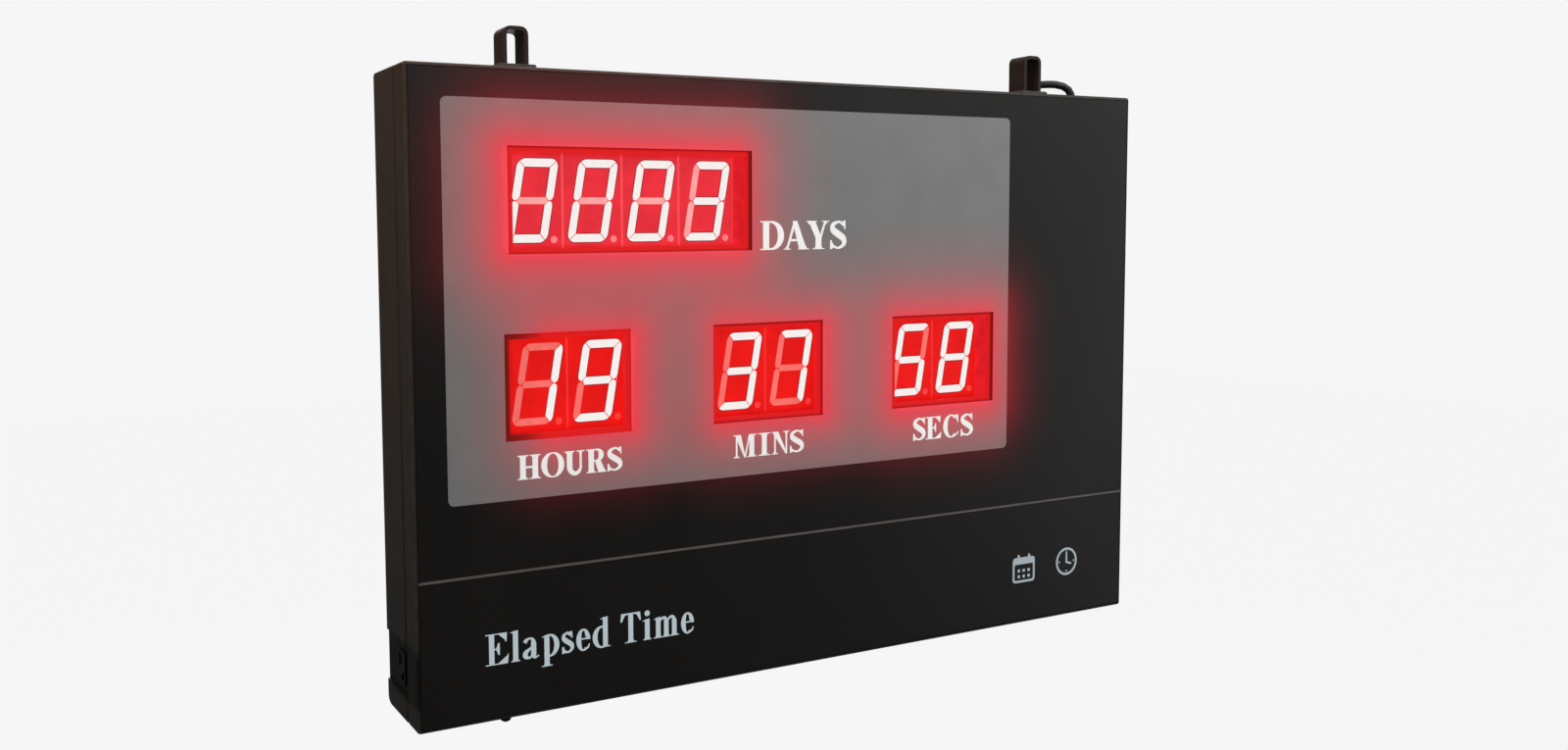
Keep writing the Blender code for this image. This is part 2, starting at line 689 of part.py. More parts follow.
def clock_battery():
    """The coin cell that keeps the count, in its round holder."""
    rim = MAIN_FACE - CELL_THICK - CELL_HOLDER_FLOOR - GAP
    holder_radius = CELL_RADIUS + GAP + CELL_HOLDER_WALL
    holder = rod(
        "battery_holder", (CELL_X, rim, CELL_Z), (CELL_X, MAIN_FACE, CELL_Z), holder_radius, CHIP_BLACK, 28
    )
    floor = MAIN_FACE - CELL_HOLDER_FLOOR
    cut_hole(holder, (CELL_X, rim - MM, CELL_Z), (CELL_X, floor, CELL_Z), CELL_RADIUS + GAP, 28)
    start, end = (CELL_X, rim, CELL_Z), (CELL_X, floor - GAP, CELL_Z)
    rod("clock_battery", start, end, CELL_RADIUS, CELL_STEEL, 28)


def voltage_regulator():
    """A regulator's finned heat sink."""
    sink = on_board("voltage_regulator", HEAT_SINK, SINK_GREY)
    left, right, low, high, rise = HEAT_SINK
    for number in (-1, 0, 1):
        middle = (left + right) / 2 + number * FIN_PITCH
        start = (middle - FIN_GAP / 2, MAIN_FACE - rise - MM, low - MM)
        cut_box(sink, start, (middle + FIN_GAP / 2, MAIN_FACE - HEAT_SINK_BASE, high + MM))


def wiring():
    """The ribbon between the boards, and the leads from the inlet, the switch and the button."""
    rise = RIBBON_THICK / 2
    low, high = MAIN_BOARD_LOW.y - 4 * MM, BOARD_REAR + 2.2 * MM
    path = [(high, -16), (high + MM, -17.5), (high + MM, -60), (low + MM, -84), (low, -92), (low, -100)]
    outline = [(y + rise, z * MM) for y, z in path]
    outline += [(y - rise, z * MM) for y, z in reversed(path)]
    ribbon = outline_solid("ribbon_cable", outline, -RIBBON_WIDTH / 2, RIBBON_WIDTH / 2, RIBBON_GREY)
    ribbon.data.transform(Matrix.Rotation(math.pi / 2, 4, "Z"))
    ribbon.location = (RIBBON_X, 0, 0)
    for name, route, radius in (
        ("inner_lead", INNER_LEAD_ROUTE, INNER_LEAD_RADIUS),
        ("switch_lead", SWITCH_LEAD_ROUTE, THIN_LEAD_RADIUS),
        ("button_lead", BUTTON_LEAD_ROUTE, THIN_LEAD_RADIUS),
    ):
        tube(name, [point * MM for point in smooth_route(route, 8.0)], radius, LEAD_BLACK)


# ---------------------------------------------------------------- hangers


def hanger_screw_places():
    reach = HANGER_OUTER / 2 + HANGER_FOOT - HANGER_SCREW_FROM_TOE
    top = HALF_HEIGHT + GAP + SCREW_HEAD_RISE
    return [(x + leg * reach, HANGER_Y, top) for x in HANGER_XS.values() for leg in (-1, 1)]


def strap_line(rise):
    """The strap's outer face seen from the front: foot, leg, rounded bridge, leg, foot."""
    half = HANGER_OUTER / 2
    foot = INNER_TOP - GAP
    bend = HALF_HEIGHT + rise - HANGER_RADIUS
    left = [(-half - HANGER_FOOT, foot), (-half, foot)]
    for number in range(5):
        turn = math.pi - number * math.pi / 8
        left.append((
            -half + HANGER_RADIUS + HANGER_RADIUS * math.cos(turn), bend + HANGER_RADIUS * math.sin(turn)
        ))
    return left + [(-x, z) for x, z in reversed(left)]


def hanger(name, x, rise):
    """A strap bent to an inverted U, its feet turned out under the case's top wall."""
    shape = bmesh.new()
    rows = [
        [shape.verts.new((px, HANGER_Y + side * HANGER_WIDTH / 2, pz)) for px, pz in strap_line(rise)]
        for side in (-1, 1)
    ]
    for number in range(len(rows[0]) - 1):
        shape.faces.new((rows[0][number], rows[0][number + 1], rows[1][number + 1], rows[1][number]))
    mesh = bpy.data.meshes.new(name)
    shape.to_mesh(mesh)
    shape.free()
    strap = place(bpy.data.objects.new(name, mesh), name, STRAP_BLACK)
    strap.location.x = x
    shell = strap.modifiers.new("thickness", "SOLIDIFY")
    shell.thickness = HANGER_STRAP
    shell.offset = -1
    shell.use_even_offset = True
    for screw_x, y, _ in hanger_screw_places():
        if abs(screw_x - x) < HANGER_OUTER * 2:
            start, end = (screw_x, y, INNER_TOP - 4 * MM), (screw_x, y, INNER_TOP + MM)
            cut_hole(strap, start, end, SCREW_HOLE, 12)
    return strap


def collar(name, x):
    """The rubber collar that seals the strap's two slots from above."""
    low = (x - COLLAR_LENGTH / 2, HANGER_Y - COLLAR_WIDTH / 2, HALF_HEIGHT + GAP)
    high = (x + COLLAR_LENGTH / 2, HANGER_Y + COLLAR_WIDTH / 2, HALF_HEIGHT + COLLAR_RISE)
    ring = box(name, low, high, RUBBER_BLACK, 0.8 * MM, 2)
    for leg in (-1, 1):
        middle = x + leg * (HANGER_OUTER - HANGER_STRAP) / 2
        across, along = HANGER_STRAP / 2 + GAP, HANGER_WIDTH / 2 + GAP
        cut_box(
            ring, (middle - across, HANGER_Y - along, HALF_HEIGHT - MM),
            (middle + across, HANGER_Y + along, HALF_HEIGHT + 2 * COLLAR_RISE),
        )
    return ring


# ---------------------------------------------------------------- controls


def switch_box(name, start, end, size, collection=CUTTERS):
    """A box centred on the switch, from one x to another, of the given width and height."""
    across, up = size[0] / 2, size[1] / 2
    low = (start, CONTROL_Y - across, SWITCH_Z - up)
    return box(name, low, (end, CONTROL_Y + across, SWITCH_Z + up), BUTTON_BLACK, collection=collection)


def power_switch():
    """The rocker switch: a bezel and body in the side wall, and the rocker on its own pivot."""
    face = -HALF_WIDTH + SWITCH_RECESS - GAP
    body = switch_box("power_switch_body", face - 0.6 * MM, face, SWITCH_BEZEL, PARTS)
    join(body, switch_box("switch_block", face - GAP, SWITCH_BLOCK_END, SWITCH_BLOCK))
    cut(body, switch_box("switch_mouth", -HALF_WIDTH - MM, SWITCH_MOUTH_END, SWITCH_MOUTH))
    reach = ROCKER_PIN_LENGTH / 2 + 0.2 * MM
    pin_hole = [(ROCKER_PIVOT_X, CONTROL_Y + side * reach, SWITCH_Z) for side in (-1, 1)]
    cut_hole(body, *pin_hole, ROCKER_PIN_RADIUS + GAP, 12)
    power_rocker()


def power_rocker():
    """A rocker with two shallow faces, on pins along Y, tilted to its rest end."""
    half_outline = [(4.2, 4.6), (3.6, 2.2), (3.35, 0.0)]
    outer = half_outline + [(x, -z) for x, z in reversed(half_outline[:-1])]
    inner = [(1.0, -4.3), (-1.2, -1.6), (-1.2, 1.6), (1.0, 4.3)]
    outline = [(-x * MM, z * MM) for x, z in outer + inner]
    rocker = outline_solid("power_rocker", outline, -ROCKER_WIDTH / 2, ROCKER_WIDTH / 2, BUTTON_BLACK)
    reach = ROCKER_PIN_LENGTH / 2
    join(rocker, rod("rocker_pin", (0, -reach, 0), (0, reach, 0), ROCKER_PIN_RADIUS, None, 12, CUTTERS))
    rocker = realised(rocker)
    rocker.location = (ROCKER_PIVOT_X, CONTROL_Y, SWITCH_Z)
    rocker.rotation_euler = (0, ROCKER_TILT, 0)


def reset_button():
    """The push button under the case: threaded body, its nut, and the sprung cap."""
    up = (0, 0, 1)
    inside, thread, bore = -INNER_TOP + GAP, BUTTON_THREAD, 2.1 * MM
    mouth, bottom, crown = -149.4 * MM, -136 * MM, -128 * MM
    body = [
        (0, crown), (5 * MM, crown), (5 * MM, inside), (thread, inside), (thread, mouth),
        (bore, mouth), (bore, bottom), (0, bottom),
    ]
    turned("reset_button_body", body, (BUTTON_X, CONTROL_Y, 0), up, BUTTON_BLACK, 20)
    top = -HALF_HEIGHT - GAP
    low = top - 2 * MM
    start, end = (BUTTON_X, CONTROL_Y, low), (BUTTON_X, CONTROL_Y, top)
    nut = rod("reset_button_nut", start, end, 5.2 * MM, NUT_STEEL, 6)
    nut.data.shade_flat()
    start, end = (BUTTON_X, CONTROL_Y, low - MM), (BUTTON_X, CONTROL_Y, top + MM)
    cut_hole(nut, start, end, thread + GAP, 20)
    tip = BUTTON_TIP - BUTTON_SHOULDER
    stem_top = 13.4 * MM
    cap = [
        (0, stem_top), (1.8 * MM, stem_top), (1.8 * MM, 0), (2.7 * MM, 0), (2.7 * MM, tip + 1.7 * MM),
        (2.3 * MM, tip + 0.8 * MM), (1.3 * MM, tip + 0.2 * MM), (0, tip),
    ]
    turned("reset_button_cap", cap, (BUTTON_X, CONTROL_Y, BUTTON_SHOULDER), up, BUTTON_BLACK, 20)


# ---------------------------------------------------------------- power lead


def power_lead():
    """The grommet in the top wall, the lead from it and the inline socket on the lead's end."""
    y = LEAD_ROUTE[0][1] * MM
    bore = LEAD_RADIUS + GAP
    top, inside = HALF_HEIGHT + GAP, INNER_TOP - GAP
    grommet = [
        (bore, top + 1.1 * MM), (3.6 * MM, top + 1.1 * MM), (4.8 * MM, top + 0.5 * MM), (4.8 * MM, top),
        (3.2 * MM, top), (3.2 * MM, inside), (4.6 * MM, inside), (4.6 * MM, inside - 1.0 * MM),
        (bore, inside - 1.0 * MM), (bore, top + 1.1 * MM),
    ]
    turned("lead_grommet", grommet, (LEAD_EXIT_X, y, 0), (0, 0, 1), RUBBER_BLACK, 20)
    route = smooth_route(LEAD_ROUTE[:LEAD_HANGS_FROM + 1], 3.0)[:-1]
    route += smooth_route(LEAD_ROUTE[LEAD_HANGS_FROM:], 9.0)
    tube("power_lead", [point * MM for point in route], LEAD_RADIUS, LEAD_BLACK)
    end = Vector(LEAD_ROUTE[-1]) * MM
    socket = [
        (0, -GAP), (2.4 * MM, -GAP), (3.0 * MM, -8 * MM), (4.6 * MM, -11 * MM), (5.1 * MM, -13 * MM),
        (5.1 * MM, -33 * MM), (4.7 * MM, -34 * MM), (SOCKET_MOUTH, -34 * MM), (SOCKET_MOUTH, -25 * MM),
        (0, -25 * MM),
    ]
    turned("lead_socket", socket, end, (0, 0, 1), LEAD_BLACK, 20)


def main():
    front_cover()
    rear_housing()
    back_panel()
    fascia()
    digits()
    display_board()
    main_board()
    wiring()
    for name, x in HANGER_XS.items():
        hanger(f"{name}_hanger", x, HANGER_RISES[name])
        collar(f"{name}_hanger_collar", x)
    screws("hanger_screw", pan_profile(6.5 * MM), hanger_screw_places(), (0, 0, 1))
    screws(
        "cover_screw", flush_profile(6.5 * MM), cover_screw_places(),
        lambda point: (0, 0, math.copysign(1, point[2])),
    )
    head = BACK_REAR + GAP + SCREW_HEAD_RISE
    places = [(x, head, z) for x, z in back_screw_places()]
    screws("back_panel_screw", pan_profile(6 * MM), places, (0, 1, 0))
    power_switch()
    reset_button()
    power_lead()


main()
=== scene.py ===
"""Looks for the wall-hung LED day counter: the lead, the lit digits, the printed front, and a
procedural material for every CAD node. Places are in metres: the front faces -Y and +Z is up."""

import math

import bmesh
import bpy
from mathutils import Matrix, Vector
from mathutils.geometry import delaunay_2d_cdt


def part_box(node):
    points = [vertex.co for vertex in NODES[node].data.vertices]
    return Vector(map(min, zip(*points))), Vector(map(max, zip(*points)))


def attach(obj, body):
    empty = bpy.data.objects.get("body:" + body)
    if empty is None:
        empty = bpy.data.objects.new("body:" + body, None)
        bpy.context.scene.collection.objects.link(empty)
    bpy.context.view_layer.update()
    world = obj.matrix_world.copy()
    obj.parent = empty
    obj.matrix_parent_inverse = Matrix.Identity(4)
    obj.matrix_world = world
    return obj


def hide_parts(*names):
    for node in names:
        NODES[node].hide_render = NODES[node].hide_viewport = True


MM = 0.001

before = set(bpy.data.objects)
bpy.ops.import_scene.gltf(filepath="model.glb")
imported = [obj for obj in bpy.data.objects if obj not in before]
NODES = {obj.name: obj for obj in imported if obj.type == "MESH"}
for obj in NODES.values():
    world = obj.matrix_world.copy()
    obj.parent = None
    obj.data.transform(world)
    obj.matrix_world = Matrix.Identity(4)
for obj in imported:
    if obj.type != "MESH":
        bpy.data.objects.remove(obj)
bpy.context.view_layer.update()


def numbered(stem, count):
    return [f"{stem}_{number}" for number in range(1, count + 1)]


def centre(node):
    """The x, y and z of the middle of a node's box."""
    return [(low + high) / 2 for low, high in zip(*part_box(node))]


# Camera
CAMERA_AT = (-0.37141, -0.57014, 0.07025)
CAMERA_YAW = math.radians(26.07)
CAMERA_PITCH = math.radians(-4.30)
CAMERA_ROLL = math.radians(-0.64)
CAMERA_LENS = 29.41
CAMERA_SHIFT = (0.1101, -0.0266)

# Lead, its route in millimetres as the CAD has it: first a loop over the top, then the drop behind
LEAD_DIAMETER = 4.2 * MM
LOOP_POINTS = 13
LOOP_STEP = 3.0
DROP_STEP = 9.0
LEAD_ROUTE = [
    (190.4, -22.5, 141.7), (190.4, -22.5, 145.3), (190.0, -22.4, 148.2), (188.6, -21.8, 150.9),
    (185.8, -20.8, 152.8), (181.8, -19.3, 153.8), (176.8, -17.0, 154.0), (171.5, -14.2, 153.5),
    (166.5, -11.0, 151.8), (162.0, -8.3, 148.9), (158.6, -6.3, 144.9), (156.8, -5.4, 139.5),
    (156.2, -5.2, 132), (156.4, -5.4, 116), (157.6, -5.6, 92), (159.2, -5.6, 62),
    (160.2, -5.6, 28), (159.8, -5.6, -6), (158.6, -5.6, -36), (157.8, -5.6, -60),
    (157.6, -5.6, -72),
]

# Stage
MIDDLE = (0, -0.02, 0)
SKY_SEEN = (0.922, 0.922, 0.922, 1)
SKY_LIGHT = (1.0, 0.97, 0.93, 1)
SKY_STRENGTH = 0.11
FLOOR_REACH = 6.0
FLOOR_Z = -0.75
FLOOR_LEVEL = 0.912

# Places from the frame
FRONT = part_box("display_fascia")[0].y
CASE_LOW, CASE_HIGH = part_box("front_cover")
SWITCH_Z = centre("power_switch_body")[2]

# Printed front: the ink's thickness, then the grey field and its windows as left, right, bottom, top
PRINT = 0.10 * MM
FIELD = (-194.6 * MM, 122.6 * MM, -45.9 * MM, 130.7 * MM)
FIELD_CORNER = 2.8 * MM
FIELD_FRONT = FRONT - PRINT / 2
WINDOWS = {
    "days": (-164.5 * MM, -39.1 * MM, 63.1 * MM, 110.5 * MM),
    "hours": (-167.4 * MM, -105.1 * MM, -19.5 * MM, 28.1 * MM),
    "mins": (-61.0 * MM, 2.1 * MM, -19.5 * MM, 28.1 * MM),
    "secs": (45.2 * MM, 112.5 * MM, -19.5 * MM, 28.1 * MM),
}
READINGS = {"days": "0003", "hours": "19", "mins": "37", "secs": "58"}

# Red sheets that fill the gaps round the digit modules, then the modules' own spacing
SHEET_THICK = 0.8 * MM
SHEET_SINK = 0.1 * MM
SHEET_MARGIN = 3.0 * MM
SHEET_FIT = 0.15 * MM
SCREW_CLEAR = 3.9 * MM
MODULE_PITCH = 30.0 * MM
MODULE_GAP = 0.3 * MM

# Seven-segment glyph, before it leans
GLYPH_HALF_WIDTH = 10.0 * MM
GLYPH_HALF_HEIGHT = 18.75 * MM
GLYPH_BAR = 3.7 * MM
UNLIT_BAR = 3.2 * MM
GLYPH_SHADE_RIM = 0.45 * MM
GLYPH_GAP = 0.38 * MM
GLYPH_CORNER = 3.6 * MM
GLYPH_LEAN = math.tan(math.radians(10))
GLYPH_RISE = 0.15 * MM
GLYPH_SINK = 0.05 * MM
GLYPH_SHIFT = 0.2 * MM
POINT_RADIUS = 1.6 * MM
POINT_AT = (10.3 * MM, -17.5 * MM)
SEGMENTS = {
    "0": "abcdef", "1": "bc", "2": "abged", "3": "abgcd", "4": "fgbc", "5": "afgcd",
    "6": "afgedc", "7": "abc", "8": "abcdefg", "9": "abcdfg",
}

# Marks on the lower band
MARK_LOW = -122.0 * MM
MARK_SIZE = 15.6 * MM
MARK_LINE = 1.25 * MM
CALENDAR_LEFT = 128.4 * MM
CLOCK_X = 168.0 * MM

# Lettering in millimetres: baseline and cap height, then each letter's left and right
LABELS = {
    "days_label": (63.1, 13.9, [
        ("D", -34.6, -20.9), ("A", -21.1, -6.3), ("Y", -7.8, 6.0), ("S", 6.2, 16.3),
    ]),
    "hours_label": (-37.1, 10.9, [
        ("H", -162.2, -150.9), ("O", -150.7, -139.4), ("U", -139.3, -129.2), ("R", -128.4, -118.3),
        ("S", -117.8, -110.0),
    ]),
    "mins_label": (-37.0, 11.1, [
        ("M", -50.2, -37.0), ("I", -36.0, -29.0), ("N", -28.1, -17.9), ("S", -17.7, -9.2),
    ]),
    "secs_label": (-37.2, 11.7, [
        ("S", 58.9, 67.2), ("E", 67.3, 77.6), ("C", 78.6, 89.5), ("S", 90.6, 99.2),
    ]),
}

# The legend's left, right, baseline and cap height in millimetres, then its spacing before it is
# stretched to fit, in cap heights
LEGEND = "Elapsed Time"
LEGEND_PLACE = (-178.8, -72.6, -119.1, 14.1)
LEGEND_WIDTHS = {
    "E": 0.90, "l": 0.35, "a": 0.66, "p": 0.72, "s": 0.50, "e": 0.58, "d": 0.74, " ": 0.24,
    "T": 0.88, "i": 0.35, "m": 1.12,
}
LETTER_GAP = 0.10

# Heavy and fine stroke of the letters, and the small letters' height, in cap heights
LABEL_WEIGHT = (0.25, 0.08)
LEGEND_WEIGHT = (0.175, 0.055)
X_HEIGHT = 0.70


# ---------------- camera, light, stage


def added(name, data):
    """A new object in the scene."""
    made = bpy.data.objects.new(name, data)
    bpy.context.scene.collection.objects.link(made)
    return made


def added_mesh(name, shape, material):
    mesh = bpy.data.meshes.new(name)
    shape.to_mesh(mesh)
    shape.free()
    mesh.materials.append(material)
    return added(name, mesh)


def add_camera():
    yaw, pitch, roll = CAMERA_YAW, CAMERA_PITCH, CAMERA_ROLL
    ahead = Vector((
        math.sin(yaw) * math.cos(pitch), math.cos(yaw) * math.cos(pitch), math.sin(pitch)
    ))
    level = Vector((math.cos(yaw), -math.sin(yaw), 0))
    upward = level.cross(ahead)
    right = level * math.cos(roll) + upward * math.sin(roll)
    top = upward * math.cos(roll) - level * math.sin(roll)
    camera = added("camera", bpy.data.cameras.new("camera"))
    camera.matrix_world = Matrix.Translation(CAMERA_AT) @ Matrix((right, top, -ahead)).transposed().to_4x4()
    camera.data.lens = CAMERA_LENS
    camera.data.shift_x, camera.data.shift_y = CAMERA_SHIFT
    bpy.context.scene.camera = camera


def add_light(name, at, size, power, colour, aim=MIDDLE):
    data = bpy.data.lights.new(name, "AREA")
    data.shape = "RECTANGLE"
    data.size, data.size_y = size
    data.energy = power
    data.color = colour
    light = added(name, data)
    light.location = at
    light.rotation_euler = (Vector(aim) - Vector(at)).to_track_quat("-Z", "Y").to_euler()


def add_sky():
    """A pale sky for the camera, and a dimmer one that lights."""
    world = bpy.data.worlds.new("studio")
    bpy.context.scene.world = world
    world.use_nodes = True
    world.node_tree.nodes.clear()
    sky = Wiring(world.node_tree)
    seen = sky.add("ShaderNodeBackground", {"Color": SKY_SEEN})
    light = sky.add("ShaderNodeBackground", {"Color": SKY_LIGHT, "Strength": SKY_STRENGTH})
    from_camera = sky.add("ShaderNodeLightPath").outputs["Is Camera Ray"]
    mix = sky.add("ShaderNodeMixShader", {0: from_camera, 1: light.outputs[0], 2: seen.outputs[0]})
    sky.add("ShaderNodeOutputWorld", {"Surface": mix.outputs[0]})


def add_floor():
    """A pale floor that lights nothing and isn't mirrored."""
    shape = bmesh.new()
    corners = rectangle(-FLOOR_REACH, -FLOOR_REACH, FLOOR_REACH, FLOOR_REACH)
    shape.faces.new([shape.verts.new((x, y, FLOOR_Z)) for x, y in corners])
    pale = Recipe("pale_floor", Roughness=0.9, Specular_IOR_Level=0)
    pale.put("Base Color", (0.015, 0.015, 0.015, 1))
    pale.shine((1, 1, 1, 1), FLOOR_LEVEL)
    floor = added_mesh("floor", shape, pale.material)
    floor.visible_diffuse = floor.visible_glossy = False


def add_stage():
    bpy.context.scene.view_settings.view_transform = "Standard"
    add_sky()
    add_floor()
    add_light("key", (-0.95, -0.33, 0.85), (0.6, 0.6), 5.6, (1.0, 0.90, 0.78))
    add_light("front_card", (0.5, -2.0, 1.05), (2.6, 0.7), 3, (1.0, 0.98, 0.96))
    add_light("top_strip", (0.25, -0.62, 0.42), (1.0, 0.15), 0.9, (1.0, 0.98, 0.95))
    add_light("right_lamp", (0.32, -0.3, 0.5), (0.3, 0.3), 0.9, (1.0, 0.99, 0.98), (0.1, 0, 0))
    add_light("right_card", (1.15, -0.5, 0.2), (0.4, 0.9), 1.7, (1.0, 0.98, 0.97))
    add_light("low_card", (1.7, -1.25, -0.55), (0.8, 0.6), 0.8, (0.97, 0.98, 1.0))
    add_light("overhead", (0.1, 0.5, 1.5), (1.6, 0.8), 9, (1.0, 0.97, 0.93))
    add_light("behind", (0.6, 1.8, 0.4), (1.4, 1.2), 14, (1.0, 1.0, 1.0))


# ---------------- node materials


class Wiring:
    """Short calls that add nodes to a tree and join them."""

    def __init__(self, tree, place=None):
        self.tree = tree
        self.place = place

    def add(self, kind, inputs=(), **settings):
        """A node with these values or sockets on its inputs, each input given by name or number."""
        node = self.tree.nodes.new(kind)
        for key, value in settings.items():
            setattr(node, key, value)
        for key, value in dict(inputs).items():
            self.wire(value, node.inputs[key])
        return node

    def wire(self, value, socket):
        """Joins a socket, or sets a plain value."""
        if isinstance(value, bpy.types.NodeSocket):
            self.tree.links.new(value, socket)
        else:
            socket.default_value = value

    def axes(self):
        """The place's x, y and z."""
        return self.add("ShaderNodeSeparateXYZ", {0: self.place}).outputs

    def maths(self, operation, *values):
        return self.add("ShaderNodeMath", enumerate(values), operation=operation).outputs[0]

    def times(self, first, *others):
        for other in others:
            first = self.maths("MULTIPLY", first, other)
        return first

    def plus(self, first, second):
        return self.maths("ADD", first, second)

    def less(self, first, second):
        return self.maths("SUBTRACT", first, second)

    def apart(self, value, middle=0.0):
        """How far the value is from the middle, either way."""
        return self.maths("ABSOLUTE", self.less(value, middle))


class Recipe(Wiring):
    """A Principled material and short calls for the nodes that feed it."""

    def __init__(self, name, **fixed):
        self.material = bpy.data.materials.new(name)
        self.material.use_nodes = True
        nodes = self.material.node_tree.nodes
        super().__init__(self.material.node_tree, nodes.new("ShaderNodeTexCoord").outputs["Object"])
        self.shader = nodes["Principled BSDF"]
        for socket, value in fixed.items():
            self.put(socket.replace("_", " "), value)

    def put(self, socket, value):
        self.wire(value, self.shader.inputs[socket])

    def shine(self, colour, strength=1.0):
        self.put("Emission Color", colour)
        self.put("Emission Strength", strength)

    def backlight(self, colour, kept, light, strength):
        """Coloured plastic lit from behind, with only a part of its colour left for the light in front."""
        self.put("Base Color", self.scaled(colour, kept))
        self.shine(self.scaled(colour, light), strength)

    def noise(self, size, detail, stretch=(1, 1, 1)):
        """Soft noise whose lumps are about the given size in metres."""
        place = self.add("ShaderNodeMapping", {"Vector": self.place, "Scale": stretch}).outputs[0]
        settings = {"Vector": place, "Scale": 1 / size, "Detail": detail}
        return self.add("ShaderNodeTexNoise", settings).outputs["Fac"]

    def spread(self, source, low, high, start=0.3, end=0.7):
        """Maps a source from start..end to low..high."""
        return self.add("ShaderNodeMapRange", enumerate((source, start, end, low, high))).outputs[0]

    def patches(self, size, detail, low, high, *ends):
        """Noise of the given size, spread from low to high."""
        return self.spread(self.noise(size, detail), low, high, *ends)

    def mix(self, amount, *colours):
        """The first colour turned into the second by the amount."""
        first, second = (
            colour if isinstance(colour, bpy.types.NodeSocket) else (*colour, 1) for colour in colours
        )
        return self.add("ShaderNodeMix", {0: amount, 6: first, 7: second}, data_type="RGBA").outputs[2]

    def scaled(self, colour, amount):
        """A colour times a number."""
        return self.add("ShaderNodeVectorMath", {0: colour, "Scale": amount}, operation="SCALE").outputs[0]

    def mottled(self, colour, amount, size):
        """The colour, a little darker and lighter in soft patches."""
        return self.scaled(colour, self.patches(size, 3, 1 - amount, 1 + amount))

    def bump(self, height, depth, strength):
        inputs = {"Height": height, "Distance": depth, "Strength": strength}
        self.put("Normal", self.add("ShaderNodeBump", inputs).outputs[0])

    def group(self, tree):
        return self.add("ShaderNodeGroup", {0: self.place}, node_tree=tree).outputs[0]


# ---------------- flat shapes in the XZ plane


def boxed(outlines):
    """Each outline with its box, (left, bottom, right, top)."""
    return [
        (outline, (min(p[0] for p in outline), min(p[1] for p in outline),
                   max(p[0] for p in outline), max(p[1] for p in outline)))
        for outline in outlines
    ]


def within(point, outlines):
    """True if the point is inside any of the boxed outlines."""
    x, z = point
    for outline, (left, bottom, right, top) in outlines:
        if not (left < x < right and bottom < z < top):
            continue
        inside = False
        for (x1, z1), (x2, z2) in zip(outline, [*outline[1:], outline[0]]):
            if (z1 > z) != (z2 > z) and x < x1 + (z - z1) * (x2 - x1) / (z2 - z1):
                inside = not inside
        if inside:
            return True
    return False


def plate(name, solids, holes, front, rear, material):
    """One thin piece: overlapping outlines merged, holes left out. Outlines in metres, as (x, z)."""
    points, edges = [], []
    for outline in [*solids, *holes]:
        start, count = len(points), len(outline)
        points.extend(Vector(point) / MM for point in outline)
        edges.extend((start + i, start + (i + 1) % count) for i in range(count))
    merged, _, cells, _, _, _ = delaunay_2d_cdt(points, edges, [], 0, 1e-4, False)
    solid_tests, hole_tests = boxed(solids), boxed(holes)
    kept = []
    for cell in cells:
        middle = sum((merged[i] for i in cell), Vector((0, 0))) / len(cell) * MM
        if within(middle, solid_tests) and not within(middle, hole_tests):
            kept.append(cell)
    shape = bmesh.new()
    near = [shape.verts.new((p.x * MM, front, p.y * MM)) for p in merged]
    far = [shape.verts.new((p.x * MM, rear, p.y * MM)) for p in merged]
    sides = {}
    for cell in kept:
        shape.faces.new([near[i] for i in cell])
        shape.faces.new([far[i] for i in reversed(cell)])
        for a, b in zip(cell, [*cell[1:], cell[0]]):
            sides[(a, b)] = True
    for a, b in sides:
        if (b, a) not in sides:
            shape.faces.new([near[b], near[a], far[a], far[b]])
    bmesh.ops.delete(shape, geom=[v for v in shape.verts if not v.link_faces], context="VERTS")
    bmesh.ops.recalc_face_normals(shape, faces=shape.faces)
    piece = added_mesh(name, shape, material)
    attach(piece, "case")


def ink(name, solids, material, holes=(), rear=FRONT, thick=PRINT):
    """A printed shape that stands on the front."""
    plate(name, solids, holes, rear - thick, rear, material)


def rectangle(left, bottom, right, top):
    return [(left, bottom), (right, bottom), (right, top), (left, top)]


def rounded(left, bottom, right, top, radius, steps=8):
    """A rectangle with round corners."""
    outline = []
    for x, z, start in (
        (right - radius, bottom + radius, -90), (right - radius, top - radius, 0),
        (left + radius, top - radius, 90), (left + radius, bottom + radius, 180),
    ):
        outline += arc(x, z, radius, radius, start, start + 90, steps)
    return outline


def arc(x, z, across, up, start, end, steps=16):
    """Points on an ellipse, its angles in degrees from +X towards +Z."""
    found = []
    for step in range(steps + 1):
        angle = math.radians(start + (end - start) * step / steps)
        found.append((x + across * math.cos(angle), z + up * math.sin(angle)))
    return found


def circle(x, z, radius, count=24):
    return arc(x, z, radius, radius, 0, 360 - 360 / count, count - 1)


def ribbon(spine, widths):
    """Quads along a line of points, each as wide as asked at its two ends."""
    points = [Vector(point) for point in spine]
    lefts, rights = [], []
    for index, point in enumerate(points):
        run = points[min(index + 1, len(points) - 1)] - points[max(index - 1, 0)]
        across = Vector((-run.y, run.x)).normalized() * widths[index] / 2
        lefts.append(point + across)
        rights.append(point - across)
    return [
        [rights[i], rights[i + 1], lefts[i + 1], lefts[i]] for i in range(len(points) - 1)
    ]


def smooth_curve(points, count_of):
    """Points on the smooth curve through the given ones. count_of says how many a stretch takes."""
    given = [Vector(point) for point in points]
    ends = [2 * given[0] - given[1], *given, 2 * given[-1] - given[-2]]
    found = []
    for before, start, end, after in zip(ends, ends[1:], ends[2:], ends[3:]):
        count = count_of((end - start).length)
        for number in range(count):
            t = number / count
            found.append(
                0.5 * (2 * start + (end - before) * t
                       + (2 * before - 5 * start + 4 * end - after) * t ** 2
                       + (3 * start - before - 3 * end + after) * t ** 3)
            )
    return found + [given[-1]]


